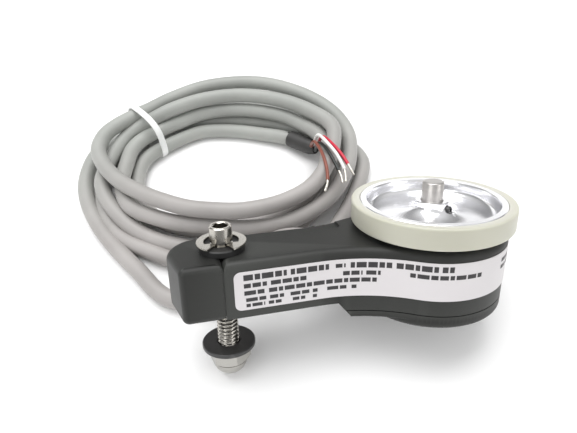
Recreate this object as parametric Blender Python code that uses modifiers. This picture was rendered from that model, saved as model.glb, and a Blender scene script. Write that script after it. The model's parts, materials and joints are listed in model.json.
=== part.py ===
"""Spring-loaded measuring-wheel rotary encoder: a moulded torsion arm with the encoder in its round end, a rubber
tyred wheel on the shaft, a threaded pivot axle through the other end, and a coiled cable with stripped leads.

The encoder is drawn level, with the pivot axle at X = 0, the wheel at +X and both axes along Z. It hangs on the empty
"stance", which leans it back to lie on a table, resting on its dome nut and on the edge of its cover. The cable is
drawn in the table's frame. Lengths are in metres, +Z is up.
"""

from math import atan2, ceil, cos, hypot, pi, radians, sin, sqrt

import bmesh
import bpy
from mathutils import Euler, Matrix, Vector

MM = 0.001
GAP = 0.3 * MM  # between touching pieces
FIT = 0.15 * MM  # round pieces seated in or on each other

# Stance on the table
LEAN_BACK = radians(28.0)
SLOPE = radians(5.374)
STANCE = Vector((-37.38, -5.11, 22.229)) * MM

# Overall sizes
AXLE_SPACING = 64.2 * MM  # pivot axle to wheel
ARM_HALF_WIDTH = 10.4 * MM
ARM_TOP = 16.7 * MM
BODY_RADIUS = 22.5 * MM
BLEND_RADIUS = 45.0 * MM  # hollow between arm and round body
HOUSING_WALL = 2.7 * MM
CAVITY_RADIUS = BODY_RADIUS - HOUSING_WALL
CEILING = 2.2 * MM  # thickness of the top wall
CEILING_HEIGHT = ARM_TOP - CEILING
PARTING = -2.5 * MM  # underside of the housing round the encoder
COVER_BOTTOM = -6.9 * MM
COVER_FLOOR = 1.0 * MM
TAB_BOTTOM = -4.8 * MM
STEP_START = 31.0 * MM  # where the underside steps down towards the cover
STEP_END = 34.8 * MM
EDGE_ROUND = 2.2 * MM
CAP_LENGTH = 15.4 * MM
SEAM = -1.0 * MM  # where the end cap meets the arm
LEDGE_DEPTH = 1.0 * MM  # lowered strip along the rear of the arm's top
DOWEL_RADIUS = 1.5 * MM
DOWEL_LENGTH = 6.0 * MM
DOWEL_OFFSET = ARM_HALF_WIDTH - 2.1 * MM
PAST = 1.0 * MM  # how far a cutter reaches past a face

# Wheel
WHEEL_RADIUS = 24.25 * MM
TYRE_THICKNESS = 2.6 * MM
TYRE_WIDTH = 6.5 * MM
WHEEL_TOP = 24.7 * MM
RIM_WALL = 2.25 * MM
WHEEL_HUB_RADIUS = 5.0 * MM
SHAFT_RADIUS = 3.175 * MM
SHAFT_TOP = 30.2 * MM
SHAFT_BOTTOM = -3.2 * MM
SET_SCREW_RADIUS = 1.2 * MM
SET_SCREW_HEIGHT = 22.2 * MM
SET_SCREW_ANGLES = (-54.0, 66.0)

# Bearings and their carrier
BEARING_WIDTH = 5.0 * MM
BEARING_RADIUS = 7.9 * MM
BALL_RADIUS = 1.15 * MM
BALL_CIRCLE = 5.55 * MM
BALL_COUNT = 8
UPPER_BEARING = 13.4 * MM  # height of its middle
LOWER_BEARING = 3.9 * MM
CARRIER_RADIUS = 9.7 * MM
CARRIER_FLANGE_RADIUS = CAVITY_RADIUS - 1.6 * MM
CARRIER_FLANGE = 2.0 * MM
CARRIER_NOSE = 17.2 * MM

# Optics and electronics
POST_CIRCLE = CAVITY_RADIUS - 3.2 * MM
POST_RADIUS = 1.9 * MM
POST_SCREW_RADIUS = 0.9 * MM
POST_ANGLES = (0.0, 90.0, 270.0)
DISC_RADIUS = POST_CIRCLE - POST_RADIUS - 0.5 * MM
DISC_HEIGHT = -1.7 * MM
DISC_THICKNESS = 0.6 * MM
DISC_HUB_RADIUS = 5.0 * MM
BOARD_TOP = -4.6 * MM
BOARD_THICKNESS = 0.9 * MM
BOARD_RADIUS = CAVITY_RADIUS - 0.9 * MM
OPTICS_ANGLE = 60.0
OPTICS_REACH = (DISC_RADIUS - 3.2 * MM, CAVITY_RADIUS - 1.8 * MM)
OPTICS_HALF_WIDTH = 4.2 * MM
OPTICS_TOP = 2.2 * MM
FORK_CLEARANCE = 0.8 * MM
CONNECTOR_REACH = (DISC_RADIUS + 0.9 * MM, CAVITY_RADIUS - 1.8 * MM)
CONNECTOR_HALF_WIDTH = 3.6 * MM
CONNECTOR_TOP = 0.4 * MM

# Cover screws
COVER_SCREW_CIRCLE = CAVITY_RADIUS - 1.2 * MM
COVER_SCREW_RADIUS = 1.1 * MM
COVER_SCREW_HEAD = 2.1 * MM
COVER_SCREW_ANGLES = (30.0, 150.0, 210.0, 330.0)
COVER_SCREW_TOP = 6.6 * MM
COVER_SINK = 2.0 * MM
BOSS_RADIUS = 3.1 * MM
SEAL_GROOVE = (CAVITY_RADIUS - 0.3 * MM, CAVITY_RADIUS + 1.2 * MM)
SEAL_GROOVE_TOP = -1.3 * MM
SEAL = (CAVITY_RADIUS, CAVITY_RADIUS + 0.9 * MM)

# Pivot
AXLE_RADIUS = 3.175 * MM
AXLE_TOP = 23.9 * MM
AXLE_BOTTOM = -21.4 * MM
HEX_SOCKET = 3.97 * MM  # across flats
HEX_DEPTH = 4.5 * MM
BUSH_RADIUS = 4.4 * MM
BUSH_FLANGE_RADIUS = 6.4 * MM
BUSH_FLANGE = 1.5 * MM
RING_HEIGHT = 18.95 * MM
RING_THICKNESS = 0.65 * MM
RING_RADIUS = 7.0 * MM
RING_GROOVE_RADIUS = 2.55 * MM
SPRING_POCKET_RADIUS = 6.2 * MM
SPRING_POCKET = (4.2 * MM, 12.6 * MM)
SPRING_RADIUS = 4.7 * MM
SPRING_WIRE = 0.55 * MM
SPRING_TURNS = 4
WASHER_RADIUS = 7.94 * MM
WASHER_TOP = -13.4 * MM
WASHER_THICKNESS = 1.3 * MM
NUT_FLATS = 11.1 * MM
NUT_HEX = 4.4 * MM
DOME_RADIUS = 5.35 * MM
DOME_CENTRE = -19.2 * MM

# Cable
CABLE_DIAMETER = 6.0 * MM
GLAND_ANGLE = radians(128.0)  # direction of the outlet, seen from above
GLAND_START = Vector((AXLE_SPACING - 23.2 * MM, ARM_HALF_WIDTH - 1.9 * MM, 7.4 * MM))
GLAND_DIRECTION = Vector((cos(GLAND_ANGLE), sin(GLAND_ANGLE), 0.0))
GLAND_RADIUS = 5.2 * MM
GLAND_BORE = 3.6 * MM
GLAND_BOSS = 7.2 * MM
GLAND_LENGTH = 8.0 * MM
CHANNEL_HALF_WIDTH = 5.8 * MM
CHANNEL = (3.0 * MM, 12.6 * MM)
CHANNEL_END = 13.5 * MM

# Side label
LABEL_BOTTOM = 2.4 * MM
LABEL_TOP = 14.0 * MM
LABEL_START = 1.6 * MM
LABEL_THICKNESS = 0.2 * MM
LABEL_GAP = 0.12 * MM
LABEL_END_ANGLE = radians(12.0)

# Cable routes on the table, each read through a smooth curve
LEAD_ROUTE = [
    (-9.0, 20.4, 13.9), (-14.4, 23.0, 10.4), (-22.0, 23.5, 6.5), (-32.0, 22.5, 4.0), (-42.0, 23.0, 3.2),
    (-51.0, 26.0, 3.1), (-60.5, 32.4, 3.1),
]
LOOSE_ROUTE = [
    (28.9, 61.0, 3.1), (26.1, 53.4, 3.1), (18.9, 42.0, 3.1), (9.9, 31.0, 3.1), (0.9, 22.0, 3.1),
    (-9.1, 15.0, 3.1), (-21.1, 9.0, 3.1), (-33.1, 6.0, 3.1), (-45.1, 7.0, 3.1), (-57.1, 12.5, 3.1),
    (-66.1, 26.0, 3.1), (-73.6, 38.0, 3.1), (-80.1, 51.0, 3.1), (-84.6, 67.0, 3.1), (-84.5, 78.0, 3.1),
    (-80.7, 90.0, 3.1),
]
TAIL_ROUTE = [(-24.0, 91.6, 4.0), (-16.0, 90.0, 4.4), (-8.2, 86.8, 5.2), (-1.4, 81.4, 6.2)]
SLEEVE_ROUTE = [(2.6, 77.4, 7.1), (6.9, 71.6, 8.8), (9.0, 66.8, 10.8)]
WIRE_ROUTES = {
    "wire_red": [(10.3, 65.5, 13.4), (11.2, 62.6, 18.6), (12.9, 54.0, 21.2), (14.6, 46.4, 21.6), (15.4, 40.2, 20.6)],
    "wire_white": [(8.4, 66.6, 14.0), (9.0, 62.4, 19.8), (10.9, 53.4, 22.6), (12.6, 46.6, 22.9), (13.3, 39.4, 20.4)],
    "wire_brown": [(7.2, 64.9, 12.6), (7.1, 60.6, 17.8), (7.6, 51.4, 19.9), (7.0, 42.6, 19.9), (5.0, 34.4, 19.4)],
    "wire_black": [(9.3, 63.6, 12.2), (9.4, 59.8, 17.0), (10.0, 51.6, 19.6), (11.2, 41.8, 19.6), (11.3, 34.6, 19.0)],
}
WIRE_RADIUS = 0.65 * MM
SLEEVE_RADIUS = 3.45 * MM

COIL_CENTRE = Vector((-26.8, 71.5)) * MM
COIL_RADII = (53.6 * MM, 43.5 * MM)
COIL_HOLE_CENTRE = Vector((-23.6, 68.6)) * MM
COIL_HOLE_RADII = (37.8 * MM, 27.0 * MM)
COIL_TOP = 17.6 * MM
TIE_ANGLE = radians(136.0)
TIE_WIDTH = 2.8 * MM
TIE_THICKNESS = 1.2 * MM


# ---------------------------------------------------------------- scene

for old in list(bpy.data.objects):
    bpy.data.objects.remove(old, do_unlink=True)


def new_collection(name):
    collection = bpy.data.collections.new(name)
    bpy.context.scene.collection.children.link(collection)
    return collection


PARTS = new_collection("rotary_encoder")
CUTTERS = new_collection("cutters")


def new_material(name, colour, roughness, metallic=0.0):
    material = bpy.data.materials.new(name)
    material.use_nodes = True
    shader = material.node_tree.nodes["Principled BSDF"]
    shader.inputs["Base Color"].default_value = (*colour, 1.0)
    shader.inputs["Roughness"].default_value = roughness
    shader.inputs["Metallic"].default_value = metallic
    return material


HOUSING = new_material("housing_plastic", (0.045, 0.048, 0.043), 0.5)
BLACK = new_material("black_plastic", (0.02, 0.02, 0.02), 0.45)
BLACK_STEEL = new_material("black_washer", (0.015, 0.015, 0.016), 0.4, 0.6)
STEEL = new_material("bright_steel", (0.66, 0.64, 0.6), 0.25, 1.0)
ALUMINIUM = new_material("aluminium", (0.86, 0.86, 0.88), 0.25, 1.0)
URETHANE = new_material("urethane", (0.52, 0.52, 0.42), 0.4)
RUBBER = new_material("rubber", (0.03, 0.03, 0.03), 0.7)
GLASS = new_material("disc_glass", (0.7, 0.75, 0.78), 0.1)
BOARD = new_material("board_green", (0.02, 0.16, 0.06), 0.45)
PAPER = new_material("label_white", (0.8, 0.76, 0.76), 0.5)
JACKET = new_material("cable_grey", (0.46, 0.46, 0.45), 0.45)
NYLON = new_material("tie_white", (0.85, 0.86, 0.84), 0.35)
WIRE_COLOURS = {
    "wire_red": new_material("wire_red", (0.6, 0.02, 0.05), 0.4),
    "wire_white": new_material("wire_white", (0.82, 0.82, 0.8), 0.4),
    "wire_brown": new_material("wire_brown", (0.28, 0.08, 0.05), 0.4),
    "wire_black": new_material("wire_black", (0.02, 0.03, 0.02), 0.4),
}


def new_empty(name, location, parent=None, rotation=(0.0, 0.0, 0.0)):
    empty = bpy.data.objects.new(name, None)
    PARTS.objects.link(empty)
    empty.location = location
    empty.rotation_euler = rotation
    empty.parent = parent
    return empty


# Leaned about X first, then sloped about Y.
LEAN_MATRIX = Matrix.Rotation(SLOPE, 4, "Y") @ Matrix.Rotation(-LEAN_BACK, 4, "X")
STANCE_EMPTY = new_empty("stance", STANCE, rotation=LEAN_MATRIX.to_euler())
WHEEL_AXIS = new_empty("wheel_axis", (AXLE_SPACING, 0, 0), STANCE_EMPTY)
PIVOT_AXIS = new_empty("pivot_axis", (0, 0, 0), STANCE_EMPTY)


# ---------------------------------------------------------------- shape helpers


def add_object(name, mesh, parent, material, smooth=30.0):
    """Puts the mesh in the parts collection, or in the cutters when it has no material."""
    obj = bpy.data.objects.new(name, mesh)
    if material is None:
        CUTTERS.objects.link(obj)
        obj.hide_render = True
        obj.display_type = "WIRE"
    else:
        PARTS.objects.link(obj)
        mesh.materials.append(material)
    obj.parent = parent
    if smooth and mesh.polygons:
        mesh.shade_smooth()
        mesh.set_sharp_from_angle(angle=radians(smooth))
    return obj


def turned(name, profile, parent, material, steps=48, centre=(0, 0, 0), closed=True):
    """A turned piece about Z. The profile of (radius, height) runs down its outer side, top to bottom."""
    mesh = bpy.data.meshes.new(name)
    count = len(profile)
    edges = [(i, i + 1) for i in range(count - 1)]
    if closed:
        edges.append((count - 1, 0))
    mesh.from_pydata([(r, 0, z) for r, z in profile], edges, [])
    obj = add_object(name, mesh, parent, material, smooth=None)
    obj.location = centre
    screw = obj.modifiers.new("turn", "SCREW")
    screw.steps = steps
    screw.render_steps = steps
    screw.use_merge_vertices = True
    screw.merge_threshold = 0.00001
    screw.use_smooth_shade = False
    return obj


def prism(name, outline, bottom, top, parent, material, top_round=0.0, bottom_round=0.0, segments=3):
    """An upright prism on an anticlockwise outline, with its top and bottom edges rounded."""
    bm = bmesh.new()
    face = bm.faces.new([bm.verts.new((x, y, bottom)) for x, y in outline])
    lid = bmesh.ops.extrude_face_region(bm, geom=[face])
    raised = [item for item in lid["geom"] if isinstance(item, bmesh.types.BMVert)]
    bmesh.ops.translate(bm, verts=raised, vec=(0, 0, top - bottom))
    bmesh.ops.recalc_face_normals(bm, faces=bm.faces[:])
    for height, size in ((top, top_round), (bottom, bottom_round)):
        if size > 0:
            rim = [e for e in bm.edges if all(abs(v.co.z - height) < 1e-7 for v in e.verts)]
            bmesh.ops.bevel(bm, geom=rim, offset=size, segments=segments, profile=0.5, affect="EDGES")
    mesh = bpy.data.meshes.new(name)
    bm.to_mesh(mesh)
    bm.free()
    return add_object(name, mesh, parent, material)


def box(name, low, high, parent, material, rounding=0.0, rotation=0.0):
    """A box from corner to corner, turned about its own middle, with its edges rounded."""
    bm = bmesh.new()
    bmesh.ops.create_cube(bm, size=1.0)
    size = Vector(high) - Vector(low)
    bmesh.ops.scale(bm, vec=size, verts=bm.verts)
    if rounding > 0:
        bmesh.ops.bevel(bm, geom=bm.edges[:], offset=rounding, segments=2, profile=0.5, affect="EDGES")
    mesh = bpy.data.meshes.new(name)
    bm.to_mesh(mesh)
    bm.free()
    obj = add_object(name, mesh, parent, material)
    obj.location = (Vector(low) + Vector(high)) / 2
    obj.rotation_euler = (0, 0, rotation)
    return obj


def rod(name, radius, bottom, top, parent, material, centre=(0, 0), sides=24, spin=0.0):
    """An upright cylinder or, with few sides, an upright prism of that corner radius."""
    bm = bmesh.new()
    bmesh.ops.create_cone(
        bm, cap_ends=True, segments=sides, radius1=radius, radius2=radius, depth=top - bottom
    )
    mesh = bpy.data.meshes.new(name)
    bm.to_mesh(mesh)
    bm.free()
    obj = add_object(name, mesh, parent, material)
    obj.location = (centre[0], centre[1], (top + bottom) / 2)
    obj.rotation_euler = (0, 0, spin)
    return obj


def aim(obj, start, direction):
    """Places an upright piece that was drawn from its own origin so that it starts there and points that way."""
    obj.location = start
    obj.rotation_euler = Vector(direction).to_track_quat("Z", "Y").to_euler()
    return obj


def cut(obj, *cutters, operation="DIFFERENCE"):
    for cutter in cutters:
        boolean = obj.modifiers.new("cut_" + cutter.name, "BOOLEAN")
        boolean.operation = operation
        boolean.object = cutter
        boolean.solver = "EXACT"
    return obj


def smooth_route(points, spacing):
    """Points every so often along a smooth curve through a route."""
    ends = [points[0]] + list(points) + [points[-1]]
    fine = []
    steps = 24
    for before, a, b, after in zip(ends, ends[1:], ends[2:], ends[3:]):
        for i in range(steps):
            t = i / steps
            fine.append(
                0.5 * (2 * a + (b - before) * t + (2 * before - 5 * a + 4 * b - after) * t * t
                       + (3 * a - before - 3 * b + after) * t ** 3)
            )
    fine.append(points[-1])
    lengths = [0.0]
    for a, b in zip(fine, fine[1:]):
        lengths.append(lengths[-1] + (b - a).length)
    count = max(2, ceil(lengths[-1] / spacing))
    route = []
    at = 0
    for i in range(count + 1):
        goal = lengths[-1] * i / count
        while at < len(fine) - 2 and lengths[at + 1] < goal:
            at += 1
        span = lengths[at + 1] - lengths[at]
        route.append(fine[at].lerp(fine[at + 1], (goal - lengths[at]) / span if span else 0.0))
    return route


def tube(name, points, radius, parent, material, resolution=2, cyclic=False):
    """A round wire or cable along the points, as a curve with a bevel and closed ends."""
    curve = bpy.data.curves.new(name, "CURVE")
    curve.dimensions = "3D"
    spline = curve.splines.new("POLY")
    spline.points.add(len(points) - 1)
    for point, place in zip(spline.points, points):
        point.co = (*place, 1.0)
    spline.use_cyclic_u = cyclic
    curve.bevel_depth = radius
    curve.bevel_resolution = resolution
    curve.use_fill_caps = True
    curve.materials.append(material)
    obj = bpy.data.objects.new(name, curve)
    PARTS.objects.link(obj)
    obj.parent = parent
    return obj


def flat_plate(name, outlines, thickness, parent, material):
    """A plate on the plane Z = 0 with holes: a filled 2D curve, extruded by half its thickness to both sides."""
    curve = bpy.data.curves.new(name, "CURVE")
    curve.dimensions = "2D"
    curve.fill_mode = "BOTH"
    curve.extrude = thickness / 2
    for outline in outlines:
        spline = curve.splines.new("POLY")
        spline.points.add(len(outline) - 1)
        for point, (x, y) in zip(spline.points, outline):
            point.co = (x, y, 0, 1)
        spline.use_cyclic_u = True
    curve.materials.append(material)
    obj = bpy.data.objects.new(name, curve)
    PARTS.objects.link(obj)
    obj.parent = parent
    return obj


def arc(centre, radius, start, end, count, vertical=None):
    """Points on an arc, or on an ellipse when it has a second radius."""
    tall = radius if vertical is None else vertical
    turns = [start + (end - start) * i / count for i in range(count + 1)]
    return [(centre[0] + radius * cos(a), centre[1] + tall * sin(a)) for a in turns]


def polar(radius, degrees):
    return (radius * cos(radians(degrees)), radius * sin(radians(degrees)))


# ---------------------------------------------------------------- the arm's outline


def blend_geometry(offset):
    """Centre and end angles of the hollow between the arm's front and the round body, moved out by an offset."""
    blend_y = -(ARM_HALF_WIDTH + BLEND_RADIUS)
    blend_x = AXLE_SPACING - sqrt((BODY_RADIUS + BLEND_RADIUS) ** 2 - blend_y ** 2)
    toward_body = atan2(-blend_y, AXLE_SPACING - blend_x)
    return (blend_x, blend_y), BLEND_RADIUS - offset, toward_body


def front_side(start_x, offset=0.0, end_angle=0.0):
    """The arm's front edge from start_x along the arm, through the hollow and round the body, anticlockwise."""
    centre, radius, toward_body = blend_geometry(offset)
    body_centre = (AXLE_SPACING, 0.0)
    points = [(start_x, -ARM_HALF_WIDTH - offset)]
    points += arc(centre, radius, pi / 2, toward_body, 7)
    points += arc(body_centre, BODY_RADIUS + offset, toward_body - pi, end_angle, 16)[1:]
    return points


def arm_outline(start_x):
    front = front_side(start_x)
    back = [(x, -y) for x, y in reversed(front[:-1])]
    return front + back


def step_cutter(name, start_x):
    """Takes away all below the arm's underside, up to the slanted step."""
    bm = bmesh.new()
    depth = 40 * MM
    slant = (STEP_END - STEP_START) / TAB_BOTTOM
    low = COVER_BOTTOM - 2 * MM
    corners = [(start_x, 0.0), (STEP_START, 0.0), (STEP_START + slant * low, low), (start_x, low)]
    face = bm.faces.new([bm.verts.new((x, -depth, z)) for x, z in corners])
    lid = bmesh.ops.extrude_face_region(bm, geom=[face])
    moved = [item for item in lid["geom"] if isinstance(item, bmesh.types.BMVert)]
    bmesh.ops.translate(bm, verts=moved, vec=(0, 2 * depth, 0))
    bmesh.ops.recalc_face_normals(bm, faces=bm.faces[:])
    mesh = bpy.data.meshes.new(name)
    bm.to_mesh(mesh)
    bm.free()
    return add_object(name, mesh, STANCE_EMPTY, None)


# ---------------------------------------------------------------- housing


def pivot_cutters(prefix):
    """The bush bore and the spring pocket, which the arm and the end cap share."""
    bore = rod(
        prefix + "_bush_bore", BUSH_RADIUS + GAP, -PAST, ARM_TOP + PAST, PIVOT_AXIS, None, sides=32
    )
    low, high = SPRING_POCKET
    pocket = rod(prefix + "_spring_pocket", SPRING_POCKET_RADIUS, low, high, PIVOT_AXIS, None, sides=40)
    return bore, pocket


def make_arm_housing():
    outline = arm_outline(SEAM)
    housing = prism(
        "arm_housing", outline, PARTING, ARM_TOP, STANCE_EMPTY, HOUSING, top_round=EDGE_ROUND, segments=3
    )
    cavity = rod("encoder_cavity", CAVITY_RADIUS, PARTING - PAST, CEILING_HEIGHT, WHEEL_AXIS, None, sides=44)
    nose_hole = rod(
        "nose_hole", CARRIER_RADIUS + GAP, CEILING_HEIGHT - PAST, ARM_TOP + PAST, WHEEL_AXIS, None, sides=48
    )
    channel = box(
        "wire_channel", (CHANNEL_END, -CHANNEL_HALF_WIDTH, CHANNEL[0]),
        (AXLE_SPACING - CAVITY_RADIUS + 3 * PAST, CHANNEL_HALF_WIDTH, CHANNEL[1]), STANCE_EMPTY, None,
    )
    ledge = box(
        "rear_ledge", (7.5 * MM, ARM_HALF_WIDTH / 2, ARM_TOP - LEDGE_DEPTH),
        (37.0 * MM, ARM_HALF_WIDTH + 6 * MM, ARM_TOP + 2 * MM), STANCE_EMPTY, None,
    )
    bosses = [
        rod(f"cover_boss_{i + 1}", BOSS_RADIUS, PARTING, CEILING_HEIGHT + 0.5 * PAST, WHEEL_AXIS, None,
            centre=polar(COVER_SCREW_CIRCLE, angle), sides=20)
        for i, angle in enumerate(COVER_SCREW_ANGLES)
    ]
    threads = [
        rod(f"cover_thread_{i + 1}", COVER_SCREW_RADIUS + FIT, PARTING - PAST, COVER_SCREW_TOP + 0.6 * MM,
            WHEEL_AXIS, None, centre=polar(COVER_SCREW_CIRCLE, angle), sides=12)
        for i, angle in enumerate(COVER_SCREW_ANGLES)
    ]
    groove_in, groove_out = SEAL_GROOVE
    seal_groove = turned(
        "seal_groove",
        [(groove_out, SEAL_GROOVE_TOP), (groove_out, PARTING - PAST), (groove_in, PARTING - PAST),
         (groove_in, SEAL_GROOVE_TOP)],
        WHEEL_AXIS, None, steps=44,
    )
    gland_boss = rod("gland_boss", GLAND_RADIUS, 0.0, GLAND_BOSS, STANCE_EMPTY, None, sides=32)
    aim_along_gland(gland_boss, GLAND_BOSS / 2)
    gland_bore = rod("gland_bore", GLAND_BORE, 0.0, GLAND_BOSS + 12 * MM, STANCE_EMPTY, None, sides=28)
    aim_along_gland(gland_bore, GLAND_BOSS / 2 - 3 * MM)
    cut(housing, cavity)
    cut(housing, *bosses, operation="UNION")
    cut(housing, gland_boss, operation="UNION")
    cut(housing, channel, gland_bore, nose_hole, *threads, seal_groove, ledge)
    cut(housing, step_cutter("arm_underside", SEAM - 2 * PAST), *pivot_cutters("arm"), *dowel_holes("arm"))
    return housing


def aim_along_gland(obj, distance):
    """Lays an upright piece along the outlet's direction with its middle at that distance from the outlet's start."""
    return aim(obj, GLAND_START + GLAND_DIRECTION * distance, GLAND_DIRECTION)


def dowel(name, side, radius, extra, material):
    """A short dowel pin across the seam between the arm and its end cap."""
    pin = rod(name, radius, 0.0, DOWEL_LENGTH + 2 * extra, STANCE_EMPTY, material, sides=16)
    return aim(pin, Vector((SEAM - GAP / 2, side * DOWEL_OFFSET, ARM_TOP / 2)), (1, 0, 0))


def dowel_holes(prefix):
    """The two blind holes for the dowels, a little longer than the pins."""
    return [
        dowel(f"{prefix}_dowel_hole_{side}", sign, DOWEL_RADIUS + FIT, 0.4 * MM, None)
        for side, sign in (("front", -1), ("rear", 1))
    ]


def end_cap_outline():
    """A plan with a square front corner, a slightly bulged end and a broad round at the rear."""
    half = ARM_HALF_WIDTH
    seam = SEAM - GAP
    corner = 1.8 * MM
    front_x = 2.8 * MM - CAP_LENGTH
    front = arc((front_x + corner, -half + corner), corner, radians(190), radians(270), 4)
    rear_round = 0.9135 * half
    rear_centre = (-CAP_LENGTH + rear_round, half - rear_round)
    rear = arc(rear_centre, rear_round, radians(90), radians(182), 8)
    return front + [(seam, -half), (seam, half)] + rear


def make_end_cap():
    cap = prism(
        "end_cap", end_cap_outline(), 0.0, ARM_TOP, STANCE_EMPTY, HOUSING, top_round=1.6 * MM, bottom_round=0.6 * MM
    )
    return cut(cap, *pivot_cutters("cap"), *dowel_holes("cap"))


def make_cover():
    outline = arm_outline(STEP_START / 2)
    top = PARTING - GAP
    cover = prism("bottom_cover", outline, TAB_BOTTOM, top, STANCE_EMPTY, HOUSING, bottom_round=0.5 * MM, segments=2)
    disc = prism(
        "cover_disc", arc((AXLE_SPACING, 0), BODY_RADIUS, 0, 2 * pi * 47 / 48, 47), COVER_BOTTOM,
        top - 0.4 * MM, STANCE_EMPTY, None, bottom_round=1.4 * MM, segments=2,
    )
    recess = rod(
        "cover_recess", BOARD_RADIUS + 0.4 * MM, COVER_BOTTOM + COVER_FLOOR, PARTING + PAST, WHEEL_AXIS, None,
        sides=44,
    )
    cut(cover, disc, operation="UNION")
    cut(cover, recess)
    pads = [
        rod(f"cover_pad_{i + 1}", BOSS_RADIUS, COVER_BOTTOM + COVER_FLOOR / 2, top - 0.05 * MM, WHEEL_AXIS, None,
            centre=polar(COVER_SCREW_CIRCLE, angle), sides=20)
        for i, angle in enumerate(COVER_SCREW_ANGLES)
    ]
    cut(cover, *pads, operation="UNION")
    for i, angle in enumerate(COVER_SCREW_ANGLES):
        centre = polar(COVER_SCREW_CIRCLE, angle)
        hole = rod(
            f"cover_hole_{i + 1}", COVER_SCREW_RADIUS + GAP, COVER_BOTTOM - PAST, PARTING + PAST, WHEEL_AXIS, None,
            centre=centre, sides=16,
        )
        sink = rod(
            f"cover_sink_{i + 1}", COVER_SCREW_HEAD + GAP, COVER_BOTTOM - PAST, COVER_BOTTOM + COVER_SINK, WHEEL_AXIS,
            None, centre=centre, sides=20,
        )
        cut(cover, hole, sink)
    return cut(cover, step_cutter("cover_end", SEAM - 2 * PAST))


def make_cover_seal():
    seal_in, seal_out = SEAL
    seal_top = SEAL_GROOVE_TOP - GAP
    turned(
        "cover_seal", [(seal_out, seal_top), (seal_out, PARTING), (seal_in, PARTING), (seal_in, seal_top)],
        WHEEL_AXIS, RUBBER, steps=44,
    )


def make_cover_screws():
    for i, angle in enumerate(COVER_SCREW_ANGLES):
        x, y = polar(COVER_SCREW_CIRCLE, angle)
        head_bottom = COVER_BOTTOM + GAP
        head_top = COVER_BOTTOM + COVER_SINK - GAP
        recess = 0.8 * MM
        turned(
            f"cover_screw_{i + 1}",
            [(0, COVER_SCREW_TOP), (COVER_SCREW_RADIUS, COVER_SCREW_TOP), (COVER_SCREW_RADIUS, head_top),
             (COVER_SCREW_HEAD, head_top), (COVER_SCREW_HEAD, head_bottom), (recess, head_bottom),
             (recess, head_bottom + recess), (0, head_bottom + recess)],
            WHEEL_AXIS, STEEL, steps=12, centre=(x, y, 0), closed=False,
        )


def make_label():
    """A thin strip that follows the arm's front side, the hollow and the round body."""
    inner = front_side(LABEL_START, LABEL_GAP, LABEL_END_ANGLE)
    outer = front_side(LABEL_START, LABEL_GAP + LABEL_THICKNESS, LABEL_END_ANGLE)
    prism("side_label", outer + inner[::-1], LABEL_BOTTOM, LABEL_TOP, STANCE_EMPTY, PAPER)


# ---------------------------------------------------------------- bearings, shaft and optics


def bearing_race(name, middle, radii, groove, parent):
    """A ball-bearing race. The groove is on the side of the second radius."""
    face, bore_side = radii
    half = BEARING_WIDTH / 2
    top = middle + half
    low = middle - half
    if face > bore_side:
        profile = [(face, top), (face, low), (bore_side, low), (bore_side, middle - 0.9 * MM), (groove, middle),
                   (bore_side, middle + 0.9 * MM), (bore_side, top)]
    else:
        profile = [(bore_side, top), (bore_side, middle + 0.9 * MM), (groove, middle), (bore_side, middle - 0.9 * MM),
                   (bore_side, low), (face, low), (face, top)]
    turned(name, profile, parent, STEEL, steps=32)


def ball_cage(name, middle, parent):
    """The balls of one bearing, held together by their cage."""
    cage = turned(
        name,
        [(BALL_CIRCLE + 0.4 * MM, middle + 0.6 * MM), (BALL_CIRCLE + 0.4 * MM, middle - 0.6 * MM),
         (BALL_CIRCLE - 0.4 * MM, middle - 0.6 * MM), (BALL_CIRCLE - 0.4 * MM, middle + 0.6 * MM)],
        parent, STEEL, steps=32,
    )
    bm = bmesh.new()
    for i in range(BALL_COUNT):
        x, y = polar(BALL_CIRCLE, 360.0 * i / BALL_COUNT)
        bmesh.ops.create_icosphere(
            bm, subdivisions=1, radius=BALL_RADIUS, matrix=Matrix.Translation((x, y, middle))
        )
    mesh = bpy.data.meshes.new(name + "_balls")
    bm.to_mesh(mesh)
    bm.free()
    balls = add_object(name + "_balls", mesh, parent, None)
    cut(cage, balls, operation="UNION")


def make_bearings():
    for side, middle in (("upper", UPPER_BEARING), ("lower", LOWER_BEARING)):
        bearing_race(
            side + "_outer_race", middle, (BEARING_RADIUS, BALL_CIRCLE + 1.0 * MM),
            BALL_CIRCLE + BALL_RADIUS + 0.2 * MM, WHEEL_AXIS,
        )
        bearing_race(
            side + "_inner_race", middle, (SHAFT_RADIUS + FIT, BALL_CIRCLE - 1.0 * MM),
            BALL_CIRCLE - BALL_RADIUS - 0.2 * MM, WHEEL_AXIS,
        )
        ball_cage(side + "_ball_cage", middle, WHEEL_AXIS)


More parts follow.
